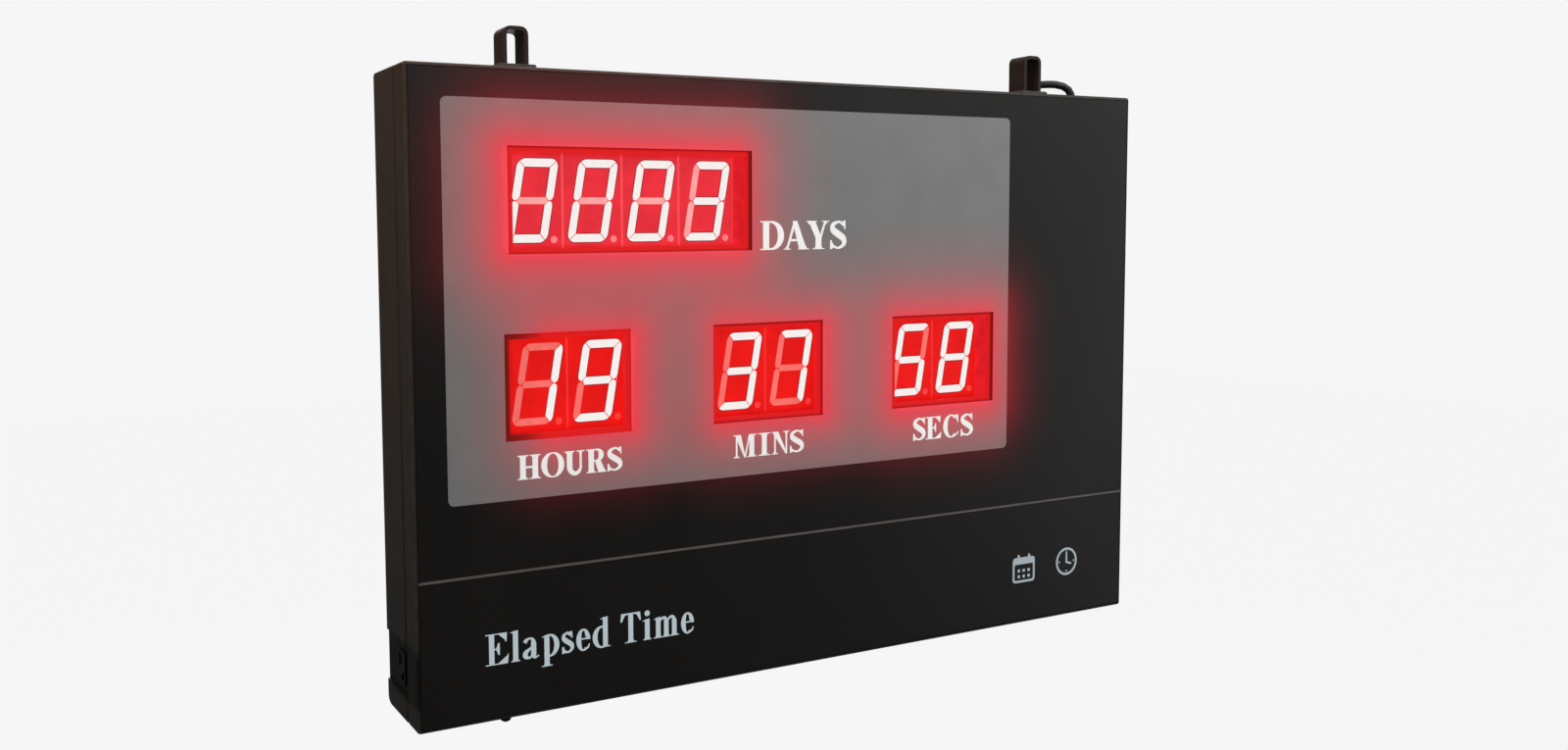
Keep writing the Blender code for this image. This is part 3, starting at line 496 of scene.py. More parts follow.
def stroke(points):
    """A ribbon along the smooth curve through (x, z, width) points."""
    found = smooth_curve(points, lambda length: 6)
    return ribbon([(p.x, p.y) for p in found], [p.z for p in found])


# ---------------- serif letters

# Each drawing takes the letter's width w, heavy stroke s and fine stroke t, all in cap heights


def bowl(x, z, across, up, start, end, stem, hair, steps=20):
    """A round stroke, heavy at its sides and fine at its top and bottom."""
    widths = []
    for step in range(steps + 1):
        angle = math.radians(start + (end - start) * step / steps)
        widths.append(hair + (stem - hair) * abs(math.cos(angle)) ** 1.6)
    return ribbon(arc(x, z, across, up, start, end, steps), widths)


def serif(left, right, z, reach_left, reach_right, hair, upward=1):
    """A bracketed foot under a stem, or a head over it where upward is -1."""
    slab, knee = 0.5 * hair * upward, 1.9 * hair * upward
    return [
        rectangle(left - reach_left, min(z, z + slab), right + reach_right, max(z, z + slab)),
        [
            (left - 0.62 * reach_left, z), (right + 0.62 * reach_right, z),
            (right + 0.22 * reach_right, z + 1.44 * slab), (right, z + knee), (left, z + knee),
            (left - 0.22 * reach_left, z + 1.44 * slab),
        ],
    ]


def footed(left, thick, reach, hair, low=0, high=1):
    """A stem with a serif at its foot."""
    right = left + thick
    return [rectangle(left, low, right, high), *serif(left, right, low, reach, reach, hair)]


def full_stem(left, thick, reach, hair):
    """A stem with a serif at each end."""
    return footed(left, thick, reach, hair) + serif(left, left + thick, 1, reach, reach, hair, -1)


def flag(left, stem, top, reach, over=0.015):
    """The sloping head of a small letter's stem, a little over its top."""
    return [
        (left - reach, top - 0.045), (left, top - 0.07), (left + stem, top + over),
        (left + stem * 0.8, top + over),
    ]


def slanted(low_left, low_right, high_left, high_right, low, high):
    """A stroke with level ends that leans."""
    return [(low_left, low), (low_right, low), (high_right, high), (high_left, high)]


def letter_d(w, s, t):
    return [
        rectangle(0.12, 0, 0.12 + s, 1),
        rectangle(0, 0, 0.3, t * 0.5), rectangle(0, 1 - t * 0.5, 0.3, 1),
        rectangle(0.12, 0, 0.46 * w, t * 0.75), rectangle(0.12, 1 - t * 0.75, 0.46 * w, 1),
        *bowl(0.44 * w, 0.5, 0.56 * w - 0.5 * s * 1.02, 0.5 - 0.38 * t, -90, 90, s * 1.02, t * 0.8),
    ]


def letter_a(w, s, t):
    return [
        slanted(w - 0.13 - s * 1.12, w - 0.10, 0.5 * w - 0.16, 0.5 * w + 0.035, 0, 1),
        slanted(0.10, 0.10 + t, 0.5 * w - 0.13, 0.5 * w - 0.02, 0, 0.94),
        rectangle(0.26 * w, 0.29, 0.70 * w, 0.29 + t),
        *serif(0.10, 0.10 + t, 0, 0.10, 0.12, t * 0.8),
        *serif(w - 0.13 - s * 1.05, w - 0.12, 0, 0.07, 0.12, t * 0.8),
    ]


def letter_y(w, s, t):
    middle = 0.5 * w + 0.02
    return [
        *footed(middle - s / 2, s, 0.13, t * 0.8, high=0.45),
        slanted(middle - s / 2, middle + s / 2, 0.09, 0.09 + s * 1.12, 0.40, 1),
        slanted(middle + s / 2 - t * 1.2, middle + s / 2, w - 0.14 - t, w - 0.14, 0.40, 1),
        *serif(0.09, 0.07 + s * 1.12, 1, 0.09, 0.10, t * 0.8, -1),
        *serif(w - 0.14 - t, w - 0.14, 1, 0.12, 0.14, t * 0.8, -1),
    ]


def letter_s(w, s, t, h=1.0):
    return [
        *stroke([
            (w - 0.13, 0.80 * h, t * 0.5), (w - 0.20, 0.90 * h, t), (0.52 * w, h * 0.965, t),
            (0.19 * w, 0.86 * h, s * 0.62), (0.19 * w, 0.68 * h, s * 0.92), (0.48 * w, 0.53 * h, s),
            (0.80 * w, 0.37 * h, s * 0.95), (0.83 * w, 0.17 * h, s * 0.62), (0.50 * w, 0.035 * h, t),
            (0.17 * w, 0.12 * h, t * 1.1), (0.08, 0.25 * h, t * 0.5),
        ]),
        [(w - 0.105, h * 1.01), (w - 0.06, h * 1.01), (w - 0.045, h * 0.70), (w - 0.10, h * 0.70)],
        [(0.01, -0.01 * h), (0.055, -0.01 * h), (0.085, h * 0.31), (0.015, h * 0.31)],
        [(w - 0.105, h * 1.01), (w - 0.07, h * 0.78), (w - 0.22, h * 0.93), (w - 0.17, h * 0.97)],
        [(0.04, -0.01 * h), (0.04, 0.22 * h), (0.20, 0.09 * h), (0.12, 0.02 * h)],
    ]


def letter_h(w, s, t):
    return [
        *full_stem(0.12, s, 0.12, t),
        rectangle(0.2, 0.5 - t / 2, w - 0.2, 0.5 + t / 2),
        *full_stem(w - 0.12 - s, s, 0.12, t),
    ]


def letter_o(w, s, t):
    side = s * 1.05
    return bowl(w / 2, 0.5, (w - side) / 2, 0.52 - t * 0.3, 0, 360, side, t * 0.62, 40)


def letter_u(w, s, t):
    right = w - 0.14
    half = (right - 0.11 - s / 2 - t * 0.6) / 2
    widths = [s + (t * 1.2 - s) * step / 20 for step in range(21)]
    return [
        rectangle(0.11, 0.34, 0.11 + s, 1), *serif(0.11, 0.11 + s, 1, 0.11, 0.11, t, -1),
        rectangle(right - t * 1.2, 0.34, right, 1), *serif(right - t * 1.2, right, 1, 0.13, 0.14, t, -1),
        *ribbon(arc(0.11 + s / 2 + half, 0.35, half, 0.30, 180, 360, 20), widths),
    ]


def letter_r(w, s, t):
    return [
        *full_stem(0.10, s, 0.10, t),
        rectangle(0.12, 1 - t * 0.7, 0.5 * w, 1), rectangle(0.2, 0.48, 0.5 * w, 0.48 + t * 0.7),
        *bowl(0.5 * w, 0.74, 0.37 * w - s * 0.47, 0.26 - t * 0.35, -90, 90, s * 0.95, t * 0.8),
        slanted(w - 0.13 - s, w - 0.05, 0.42 * w, 0.42 * w + s * 1.05, 0.04, 0.52),
        rectangle(w - 0.16 - s, 0, w, t * 0.6),
    ]


def letter_m(w, s, t):
    return [
        *footed(0.13, t, 0.12, t),
        slanted(0.47 * w, 0.47 * w + 0.06, 0.10, 0.10 + s * 1.15, 0, 1),
        slanted(0.47 * w, 0.47 * w + t, w - 0.14 - s, w - 0.08 - s, 0, 1),
        *footed(w - 0.12 - s, s, 0.12, t),
        rectangle(0, 1 - t * 0.5, 0.2, 1), rectangle(w - 0.3, 1 - t * 0.5, w, 1),
    ]


def letter_i(w, s, t):
    return full_stem((w - s) / 2, s, (w - s) / 2, t)


def letter_n(w, s, t):
    return [
        *footed(0.12, t, 0.12, t),
        rectangle(w - 0.12 - t, 0, w - 0.12, 1), *serif(w - 0.12 - t, w - 0.12, 1, 0.12, 0.12, t, -1),
        slanted(w - 0.20, w - 0.12, 0.02, 0.08 + s, -0.01, 1), rectangle(0, 1 - t * 0.5, 0.25, 1),
    ]


def letter_e(w, s, t):
    return [
        rectangle(0.12, 0, 0.12 + s, 1), rectangle(0, 0, w - 0.06, t * 0.55),
        rectangle(0, 1 - t * 0.55, w - 0.08, 1),
        [(w - 0.08, 1), (w - 0.12, 0.72), (w - 0.065, 0.72), (w - 0.05, 1)],
        [(w - 0.34, 1), (w - 0.34, 0.97), (w - 0.11, 0.76), (w - 0.07, 1)],
        [(w - 0.03, 0), (w - 0.05, 0), (w - 0.03, 0.30), (w, 0.30)],
        [(w - 0.36, 0), (w - 0.36, 0.03), (w - 0.03, 0.26), (w - 0.05, 0)],
        rectangle(0.2, 0.5 - t * 0.35, w - 0.32, 0.5 + t * 0.35),
        [(w - 0.35, 0.31), (w - 0.30, 0.31), (w - 0.30, 0.69), (w - 0.35, 0.69), (w - 0.42, 0.5)],
    ]


def letter_c(w, s, t):
    return [
        *bowl(w / 2 + 0.02, 0.5, (w - s) / 2 - 0.005, 0.52 - t * 0.35, 52, 308, s, t * 0.75, 30),
        [(w - 0.10, 1.01), (w - 0.055, 1.01), (w - 0.035, 0.65), (w - 0.09, 0.65)],
        [(w - 0.10, 1.0), (w - 0.06, 0.70), (0.66 * w, 0.985), (0.72 * w, 0.99)],
        *stroke([(0.70 * w, 0.06, t * 0.9), (0.87 * w, 0.13, t * 0.9), (w - 0.035, 0.24, t * 0.45)]),
    ]


def small_e(w, s, t):
    h = X_HEIGHT
    return [
        *bowl(w / 2, h / 2, (w - s) / 2, h / 2 + 0.015 - t * 0.4, 20, 305, s, t * 0.9, 26),
        *ribbon(
            arc(w / 2, h * 0.56, w / 2 - s * 0.42, h * 0.44 - t * 0.4, -8, 90, 10),
            [s * 0.8] * 3 + [s * 0.6] * 4 + [t] * 4,
        ),
        rectangle(s * 0.6, h * 0.56 - t * 0.55, w - 0.045, h * 0.56 + t * 0.25),
        *stroke([(0.66 * w, 0.045, t), (0.84 * w, 0.09, t * 1.1), (w - 0.03, 0.20, t * 0.5)]),
    ]


def small_l(w, s, t):
    left = (w - s) / 2
    return [*footed(left, s, left, t), flag(left, s, 1, 0.11, 0.01)]


def small_a(w, s, t):
    h = X_HEIGHT
    stem = w - 0.10 - s
    return [
        rectangle(stem, 0.1, stem + s, h * 0.74),
        *stroke([
            (0.08, h * 0.80, s * 0.8), (0.14, h * 0.91, s * 0.6), (0.46 * w, h - t * 0.35, t),
            (stem + s * 0.32, h * 0.90, s * 0.62), (stem + s / 2, h * 0.72, s),
        ]),
        *stroke([
            (stem + s * 0.3, h * 0.60, t), (0.46 * w, h * 0.50, t * 1.25), (s * 0.62, h * 0.33, s * 0.85),
            (s * 0.58, h * 0.17, s * 0.95), (0.34 * w, 0.055, t * 1.5), (0.5 * w, 0.07, t),
            (stem + s * 0.2, 0.17, t),
        ]),
        *stroke([(stem + s * 0.5, 0.12, s), (stem + s * 0.72, 0.035, t * 1.3), (w, 0.085, t * 0.6)]),
    ]


def small_bowl(x, across, start, end, s, t):
    """The round part of p and d."""
    half = X_HEIGHT / 2
    return bowl(x, half, across, half + 0.015 - t * 0.4, start, end, s, t, 24)


def small_p(w, s, t):
    return [
        *footed(0.10, s, 0.10, t, -0.32, X_HEIGHT), flag(0.10, s, X_HEIGHT, 0.10),
        *small_bowl(0.44 * w, 0.56 * w - s / 2, -125, 125, s, t),
    ]


def small_d(w, s, t):
    stem = w - 0.09 - s
    return [
        rectangle(stem, 0, stem + s, 1), rectangle(stem, 0, w, t * 0.6), flag(stem, s, 1, 0.11, 0.01),
        *small_bowl(0.56 * w - 0.02, 0.56 * w - s / 2 - 0.02, 55, 305, s, t),
    ]


def small_s(w, s, t):
    return letter_s(w, s * 0.92, t, X_HEIGHT)


def small_i(w, s, t):
    left = (w - s) / 2
    return [
        *footed(left, s, left, t, high=X_HEIGHT), flag(left, s, X_HEIGHT, 0.10),
        arc(w / 2, 0.90, s * 0.56, s * 0.56, 0, 350, 18),
    ]


def small_m(w, s, t):
    h = X_HEIGHT
    lefts = (0.09, w / 2 - s / 2, w - 0.09 - s)
    found = [flag(lefts[0], s, h, lefts[0]), rectangle(lefts[0], 0, lefts[0] + s, h)]
    for index, left in enumerate(lefts):
        found += serif(left, left + s, 0, 0.09, 0.09, t)
        if index:
            start = lefts[index - 1] + s * 0.8
            found += [rectangle(left, 0, left + s, h * 0.78)]
            found += stroke([
                (start, h * 0.80, t), (start + 0.10, h * 0.93, t * 1.5),
                (left + s * 0.25, h * 0.93, s * 0.55), (left + s / 2, h * 0.72, s),
            ])
    return found


def letter_t(w, s, t):
    return [
        *footed((w - s) / 2, s, 0.13, t), rectangle(0.03, 1 - t * 0.6, w - 0.03, 1),
        [(0.03, 1), (0.0, 0.72), (0.05, 0.72), (0.16, 0.93), (0.26, 0.95), (0.26, 1)],
        [(w - 0.03, 1), (w, 0.72), (w - 0.05, 0.72), (w - 0.16, 0.93), (w - 0.26, 0.95), (w - 0.26, 1)],
    ]


LETTERS = {
    "D": letter_d, "A": letter_a, "Y": letter_y, "S": letter_s, "H": letter_h, "O": letter_o,
    "U": letter_u, "R": letter_r, "M": letter_m, "I": letter_i, "N": letter_n, "E": letter_e,
    "C": letter_c, "T": letter_t, "e": small_e, "l": small_l, "a": small_a, "p": small_p,
    "s": small_s, "d": small_d, "i": small_i, "m": small_m,
}


def placed_letter(letter, left, right, base, cap, weight):
    """A letter's outlines in metres, from its left, right, baseline and cap height in millimetres."""
    outlines = LETTERS[letter]((right - left) / cap, *weight)
    return [[((left + x * cap) * MM, (base + z * cap) * MM) for x, z in outline] for outline in outlines]


def add_labels(white, pale):
    for name, (base, cap, letters) in LABELS.items():
        outlines = []
        for letter, left, right in letters:
            outlines += placed_letter(letter, left, right, base, cap, LABEL_WEIGHT)
        ink(name, outlines, white, rear=FIELD_FRONT, thick=PRINT / 2)

    x, right, base, cap = LEGEND_PLACE
    steps = [LEGEND_WIDTHS[character] + LETTER_GAP for character in LEGEND]
    stretch = (right - x) / (sum(steps) - LETTER_GAP)
    outlines = []
    for character, step in zip(LEGEND, steps):
        if character != " ":
            end = x + (step - LETTER_GAP) * stretch
            outlines += placed_letter(character, x, end, base, cap, LEGEND_WEIGHT)
        x += step * stretch
    ink("legend", outlines, pale)


def add_calendar(pale):
    left, low, line = CALENDAR_LEFT, MARK_LOW, MARK_LINE
    right, top = left + MARK_SIZE * 1.02, low + MARK_SIZE
    sheet = rounded(left, low, right, top - 1.6 * MM, 2 * MM)
    page = rounded(left + line, low + line, right - line, top - 5.4 * MM, 1 * MM)
    rings = [
        rounded(x - 0.75 * MM, top - 4.0 * MM, x + 0.75 * MM, top, 0.7 * MM, 5)
        for x in (left + 4.2 * MM, right - 4.2 * MM)
    ]
    ink("calendar_mark", [sheet, *rings], pale, [page])
    days = []
    for row in range(2):
        for column in range(3):
            x = left + (3.6 + 3.55 * column) * MM
            z = low + (2.6 + 3.2 * row) * MM
            days.append(rounded(x, z, x + 1.7 * MM, z + 1.6 * MM, 0.3 * MM, 3))
    ink("calendar_days", days, pale)


def add_clock(pale):
    x, z, radius, line = CLOCK_X, MARK_LOW + MARK_SIZE / 2, MARK_SIZE / 2, MARK_LINE
    ink("clock_mark", [circle(x, z, radius, 48)], pale, [circle(x, z, radius - line, 48)])
    taper = [line, line * 0.8]
    hands = ribbon([(x, z - 0.5 * MM), (x, z + 5.0 * MM)], taper)
    hands += ribbon([(x - 0.45 * MM, z - 0.2 * MM), (x + 3.6 * MM, z - 1.6 * MM)], taper)
    for angle in range(0, 360, 90):
        turn = Vector((math.cos(math.radians(angle)), math.sin(math.radians(angle))))
        reaches = (radius - line * 2.35, radius - line * 1.5)
        hands += ribbon([(x + turn.x * reach, z + turn.y * reach) for reach in reaches], [0.8 * MM] * 2)
    ink("clock_hands", hands, pale)


# ---------------- field and digits


def add_field(grey):
    holes = [rectangle(left, bottom, right, top) for left, right, bottom, top in WINDOWS.values()]
    left, right, bottom, top = FIELD
    ink("grey_field", [rounded(left, bottom, right, top, FIELD_CORNER)], grey, holes, thick=PRINT / 2)


def segment_outlines(letters, bar):
    """Outlines of the named segments about the glyph's centre. Bars of any width share one middle line."""
    inset = (GLYPH_BAR - bar) / 2
    w, h = GLYPH_HALF_WIDTH - inset, GLYPH_HALF_HEIGHT - inset
    gap, corner, middle = GLYPH_GAP, GLYPH_CORNER - inset, 0.95 * bar / 2
    flat = arc(w - corner, h - corner, corner, corner, 45, 90, 4)
    bar_a = [(x - gap * 0.7, z) for x, z in flat]
    bar_a += [(-x, z) for x, z in reversed(bar_a)]
    bar_a += [(-(w - bar) + gap * 0.7, h - bar), (w - bar - gap * 0.7, h - bar)]
    upright = arc(w - corner, h - corner, corner, corner, 0, 45, 4)
    bar_b = [(x, z - gap * 0.7) for x, z in upright]
    bar_b += [
        (w - bar, h - bar - gap * 0.7), (w - bar, middle + gap * 0.9), (w - bar * 0.62, gap * 0.75),
        (w - bar * 0.38, gap * 0.6), (w - bar * 0.12, bar * 0.22), (w, bar * 0.62),
    ]
    bar_g = [
        (w - bar * 0.72, 0), (w - bar - gap * 0.2, middle), (-w + bar + gap * 0.2, middle),
        (-w + bar * 0.72, 0), (-w + bar + gap * 0.2, -middle), (w - bar - gap * 0.2, -middle),
    ]
    found = {
        "a": bar_a, "b": bar_b, "g": bar_g, "d": [(x, -z) for x, z in bar_a],
        "f": [(-x, z) for x, z in bar_b], "c": [(x, -z) for x, z in bar_b],
        "e": [(-x, -z) for x, z in bar_b],
    }
    return [[(x + GLYPH_LEAN * z, z) for x, z in found[letter]] for letter in letters]


def add_digits(lit, rim, unlit, points):
    """The segments stand a hair proud of each module's face; round each lit one, a dark red rim that glows
    faintly is painted shade.
    """
    for group, reading in READINGS.items():
        shapes = {"lit": [], "rim": [], "unlit": [], "point": []}
        for module, figure in zip(numbered(f"{group}_digit", len(reading)), reading):
            x, _, z = centre(module)
            x += GLYPH_SHIFT
            on = SEGMENTS[figure]
            off = [letter for letter in "abcdefg" if letter not in on]
            bars = (("lit", on, GLYPH_BAR), ("rim", on, GLYPH_BAR + 2 * GLYPH_SHADE_RIM), ("unlit", off, UNLIT_BAR))
            for state, letters, bar in bars:
                outlines = segment_outlines(letters, bar)
                shapes[state] += [[(x + a, z + b) for a, b in one] for one in outlines]
            shapes["point"].append(circle(x + POINT_AT[0], z + POINT_AT[1], POINT_RADIUS))
        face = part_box(f"{group}_digit_1")[0].y
        kind = "days" if group == "days" else "clock"
        for state, material in (("lit", lit), ("unlit", unlit[kind]), ("point", points[kind])):
            name, front = f"{group}_{state}_segments", face - GLYPH_RISE
            plate(name, shapes[state], [], front, face + GLYPH_SINK, material)
        half = GLYPH_RISE / 2
        plate(f"{group}_segment_rims", shapes["rim"], [], face - half, face + half, rim)


def add_backing(sheet):
    """A thin red sheet behind each window fills the gap round its modules."""
    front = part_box("days_digit_1")[0].y + SHEET_SINK
    screws = [centre(screw) for screw in numbered("display_screw", 4)]
    for group, reading in READINGS.items():
        left, right, bottom, top = WINDOWS[group]
        low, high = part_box(f"{group}_digit_1")[0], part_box(f"{group}_digit_{len(reading)}")[1]
        holes = [rectangle(low.x - SHEET_FIT, low.z - SHEET_FIT, high.x + SHEET_FIT, high.z + SHEET_FIT)]
        near = SHEET_MARGIN + SCREW_CLEAR
        for x, _, z in screws:
            if left - near < x < right + near and bottom - near < z < top + near:
                holes.append(circle(x, z, SCREW_CLEAR))
        margin = SHEET_MARGIN
        outer = rectangle(left - margin, bottom - margin, right + margin, top + margin)
        plate(f"{group}_backing", [outer], holes, front, front + SHEET_THICK, sheet)


# ---------------- lead


def add_lead(jacket):
    loop, drop = LEAD_ROUTE[:LOOP_POINTS], LEAD_ROUTE[LOOP_POINTS - 1:]
    route = smooth_curve(loop, lambda length: max(1, round(length / LOOP_STEP)))[:-1]
    route += smooth_curve(drop, lambda length: max(1, round(length / DROP_STEP)))
    data = bpy.data.curves.new("lead", "CURVE")
    data.dimensions = "3D"
    data.bevel_depth = LEAD_DIAMETER / 2
    data.bevel_resolution = 5
    data.use_fill_caps = True
    spline = data.splines.new("POLY")
    spline.points.add(len(route) - 1)
    for spot, place in zip(spline.points, route):
        spot.co = (*(place * MM), 1)
    spline.use_smooth = True
    data.materials.append(jacket)
    lead = added("power_cord", data)
    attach(lead, "case")
    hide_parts("power_lead")


# ---------------- glow of the lit digits

# Box round each group's lit segments (left, right, bottom, top), strength, and fade, in millimetres
GLOW = {
    "days": (-162, -49.5, 67.8, 106, 1.13, 14.8),
    "hours": (-144, -106, -16, 22.5, 0.95, 12.8),
    "mins": (-54, 0, -16, 22.5, 0.99, 12.8),
    "secs": (51.5, 105.7, -16, 22.5, 1.12, 13.8),
}

# The same for the red light on the ledges inside the windows
LEDGE_GLOW = [
    (-163.3, -41.6, 64.3, 109.3, 0.72, 1.4),
    (-141.0, -106.2, -18.3, 26.5, 0.42, 1.3),
    (-141.0, -106.2, -18.3, 26.5, 1.30, 11.0),
    (-59.9, 0.9, -18.3, 26.5, 0.72, 1.3),
    (46.3, 110.3, -18.3, 26.5, 0.72, 1.4),
]


def glow_tree(name, boxes, reach=1.0, lost=0.0):
    """A node group: the red light at a place, fading away from the boxes."""
    tree = bpy.data.node_groups.new(name, "ShaderNodeTree")
    tree.interface.new_socket("Place", in_out="INPUT", socket_type="NodeSocketVector")
    tree.interface.new_socket("Glow", in_out="OUTPUT", socket_type="NodeSocketFloat")
    made = Wiring(tree, tree.nodes.new("NodeGroupInput").outputs[0])
    x, _, z = made.axes()
    total = None
    for left, right, bottom, top, strength, fade in boxes:
        beyond = []
        for along, low, high in ((x, left, right), (z, bottom, top)):
            off = made.apart(along, (low + high) / 2 * MM)
            beyond.append(made.maths("MAXIMUM", made.less(off, (high - low) / 2 * MM), 0.0))
        squares = made.plus(*(made.times(one, one) for one in beyond))
        away = made.times(made.maths("SQRT", squares), -1 / (fade * reach * MM))
        here = made.times(made.maths("EXPONENT", away), strength)
        here = made.maths("MAXIMUM", made.less(here, lost), 0.0)
        total = here if total is None else made.plus(total, here)
    made.add("NodeGroupOutput", {0: total})
    return tree


def glowing(made, tree, colour, keep=0.62, share=1.0):
    """Adds the red light to a surface, which also loses some of its own colour where the light is strong."""
    glow = made.times(made.group(tree), share)
    made.put("Base Color", made.scaled(colour, made.spread(glow, 1.0, keep, 0.0, 0.7)))
    made.shine(made.mix(glow, (0, 0, 0), (1.0, 0.012, 0.042)))


# ---------------- finishes

# Case colours: painted light, a lit brown for the top and left end and a shaded dark for low down
CASE_LIT_COLOUR = (0.0560, 0.0315, 0.0200)
CASE_SHADE_COLOUR = (0.0170, 0.0165, 0.0150)
RUBBED_HIGHLIGHT_COLOUR = (0.095, 0.088, 0.078)
DUST_COLOUR = (0.11, 0.102, 0.092)
SHADED_COLOUR = (0.004, 0.004, 0.005)
UNLIT_COLOURS = {"days": (0.98, 0.385, 0.38), "clock": (0.98, 0.175, 0.155)}
POINT_COLOURS = {"days": (0.98, 0.22, 0.23), "clock": (0.98, 0.055, 0.048)}

# Depths between which the windows' ledges lie
LEDGE_FRONT = FRONT + 0.65 * MM
LEDGE_REAR = FRONT + 3.35 * MM

# Circuit boards and ribbon cable
UPRIGHT_TRACKS = 2.6 * MM
LEVEL_TRACKS = 3.1 * MM
TRACK_DRIFT = 12 * MM
RIBBON_WIRES = 20


def case_plastic(glow, ledge):
    made = Recipe("case_plastic")
    x, y, z = made.axes()
    # painted light and shade: lighter and browner towards the top and the left end, darker low down and to
    # the right
    height = made.spread(z, 0, 1, CASE_LOW.z + 20 * MM, CASE_HIGH.z)
    leftward = made.spread(x, 1, 0.25, CASE_LOW.x + 10 * MM, CASE_LOW.x + 200 * MM)
    colour = made.mix(made.times(height, leftward), CASE_SHADE_COLOUR, CASE_LIT_COLOUR)
    colour = made.mottled(colour, 0.10, 0.06)
    # rubbed edges round the front, lightened also as a painted highlight along them, and dust that has
    # settled along the top
    past_x = made.less(made.apart(x), CASE_HIGH.x - 1.4 * MM)
    past_z = made.less(made.apart(z), CASE_HIGH.z - 1.4 * MM)
    corner = made.spread(made.maths("MAXIMUM", past_x, past_z), 0, 1, 0, 1.2 * MM)
    forward = made.spread(y, 1, 0, FRONT + 0.45 * MM, FRONT + 1.95 * MM)
    rub_and_highlight = made.times(corner, forward, made.patches(0.006, 5, 0.25, 1.0, 0.35, 0.65), 0.55)
    colour = made.mix(rub_and_highlight, colour, RUBBED_HIGHLIGHT_COLOUR)
    settled = made.spread(z, 0, 0.5, CASE_HIGH.z - 0.6 * MM, CASE_HIGH.z - 0.1 * MM)
    dust = made.times(settled, made.patches(0.0035, 6, 0, 1, 0.46, 0.72))
    colour = made.mix(dust, colour, DUST_COLOUR)
    # painted shade: the side is duller and darker round the power switch, in its recess
    by_switch = made.spread(made.apart(z, SWITCH_Z), 1, 0, 10 * MM, 16 * MM)
    shaded = made.times(by_switch, made.spread(x, 1, 0, CASE_LOW.x + 1 * MM, CASE_LOW.x + 3.5 * MM))
    colour = made.mix(made.times(shaded, 0.72), colour, SHADED_COLOUR)
    # inside the front, the plate's ledge round each window is lit red by the digits beside it
    inside = made.times(
        made.maths("GREATER_THAN", y, LEDGE_FRONT), made.maths("LESS_THAN", y, LEDGE_REAR),
        made.maths("LESS_THAN", made.apart(x), CASE_HIGH.x - 10.5 * MM),
        made.maths("LESS_THAN", made.apart(z), CASE_HIGH.z - 9.8 * MM),
    )
    near = made.maths("MINIMUM", made.plus(made.group(ledge), 0.035), 0.72)
    outer = made.times(made.group(glow), made.spread(y, 0.9, 0.0, FRONT, FRONT + 1.2 * MM))
    red = made.plus(made.times(outer, made.less(1.0, inside)), made.times(near, inside))
    gleam = made.times(made.spread(inside, 0.42, 0.03), made.spread(shaded, 1.0, 0.35))
    made.put("Specular IOR Level", gleam)
    made.put("Base Color", colour)
    made.shine(made.mix(red, (0, 0, 0), (1.0, 0.008, 0.012)))
    made.put("Roughness", made.patches(0.012, 4, 0.46, 0.60))
    made.bump(made.noise(0.0007, 2), 0.00004, 0.6)
    return made.material


def fascia_satin(glow):
    made = Recipe("fascia_satin", Specular_IOR_Level=0.40)
    _, y, _ = made.axes()
    share = made.spread(y, 1.05, 0.3, FRONT + 0.01 * MM, FRONT + 0.15 * MM)
    glowing(made, glow, made.mottled((0.0082, 0.0074, 0.0070), 0.10, 0.09), share=share)
    smear = made.noise(0.05, 5, (1.0, 1.0, 0.35))
    made.put("Roughness", made.spread(smear, 0.36, 0.48))
    made.bump(made.noise(0.0016, 3), 0.00001, 0.35)
    return made.material


def printed(name, colour, glow=None, light=0.0):
    """Screen-printed ink: nearly even, with the faint mesh of the screen. Given light, the ink also glows in
    its own colour, as painted light.
    """
    made = Recipe(name, Specular_IOR_Level=0.35)
    even = made.mottled(colour, 0.04, 0.02)
    if glow:
        glowing(made, glow, even, keep=0.34)
    else:
        made.put("Base Color", even)
        # painted light: the ink glows in its own colour
        made.shine((*colour, 1), light)
    made.put("Roughness", made.patches(0.004, 4, 0.45, 0.58))
    made.bump(made.noise(0.0005, 2), 0.000012, 0.3)
    return made.material


def digit_face(group, glow):
    """Clear red epoxy over a lit body, paler inside the glyph's area and along the module's edges."""
    left, _, bottom, top = WINDOWS[group]
    module = f"{group}_digit_1"
    days = group == "days"
    made = Recipe(f"{group}_digit_face", Specular_IOR_Level=0.2)
    x, _, z = made.axes()
    level = made.apart(z, centre(module)[2])
    inner = made.spread(level, 1, 0, GLYPH_HALF_HEIGHT + 0.45 * MM, GLYPH_HALF_HEIGHT + 3.85 * MM)
    pale = (0.80, 0.030, 0.046) if days else (0.77, 0.0085, 0.0075)
    rim = (0.745, 0.0058, 0.0068) if days else (0.70, 0.006, 0.0055)
    colour = made.scaled(made.mix(inner, rim, pale), made.patches(0.011, 2, 0.90, 1.07))
    # the edges of neighbouring modules catch the light
    step = made.maths("DIVIDE", made.less(x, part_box(module)[0].x - MODULE_GAP / 2), MODULE_PITCH)
    off_edge = made.apart(step, made.maths("ROUND", step))
    seam = made.times(made.spread(off_edge, 1, 0, 0.010, 0.024), inner, 0.45 if days else 0.16)
    colour = made.mix(seam, colour, (0.90, 0.16, 0.17))
    fall = made.group(glow)
    lit = made.spread(fall, 0.0, 1.0, 0.05, 0.62) if days else made.spread(fall, 0.25, 1.0, 0.10, 0.28)
    # the window's edge shades the strip behind it
    shade_low = made.spread(made.less(z, bottom), 0.72, 1.0, 0.0, 3.5 * MM)
    shade_high = made.spread(made.less(top, z), 0.86, 1.0, 0.0, 2.5 * MM)
    shade_left = 1.0 if days else made.spread(made.less(x, left), 0.42, 1.0, 0.0, 3.5 * MM)
    made.backlight(colour, 0.35, made.times(lit, shade_low, shade_high, shade_left), 0.88 if days else 0.94)
    made.put("Roughness", made.patches(0.003, 3, 0.22, 0.34))
    made.bump(made.noise(0.008, 2), 0.00008, 0.25)
    return made.material


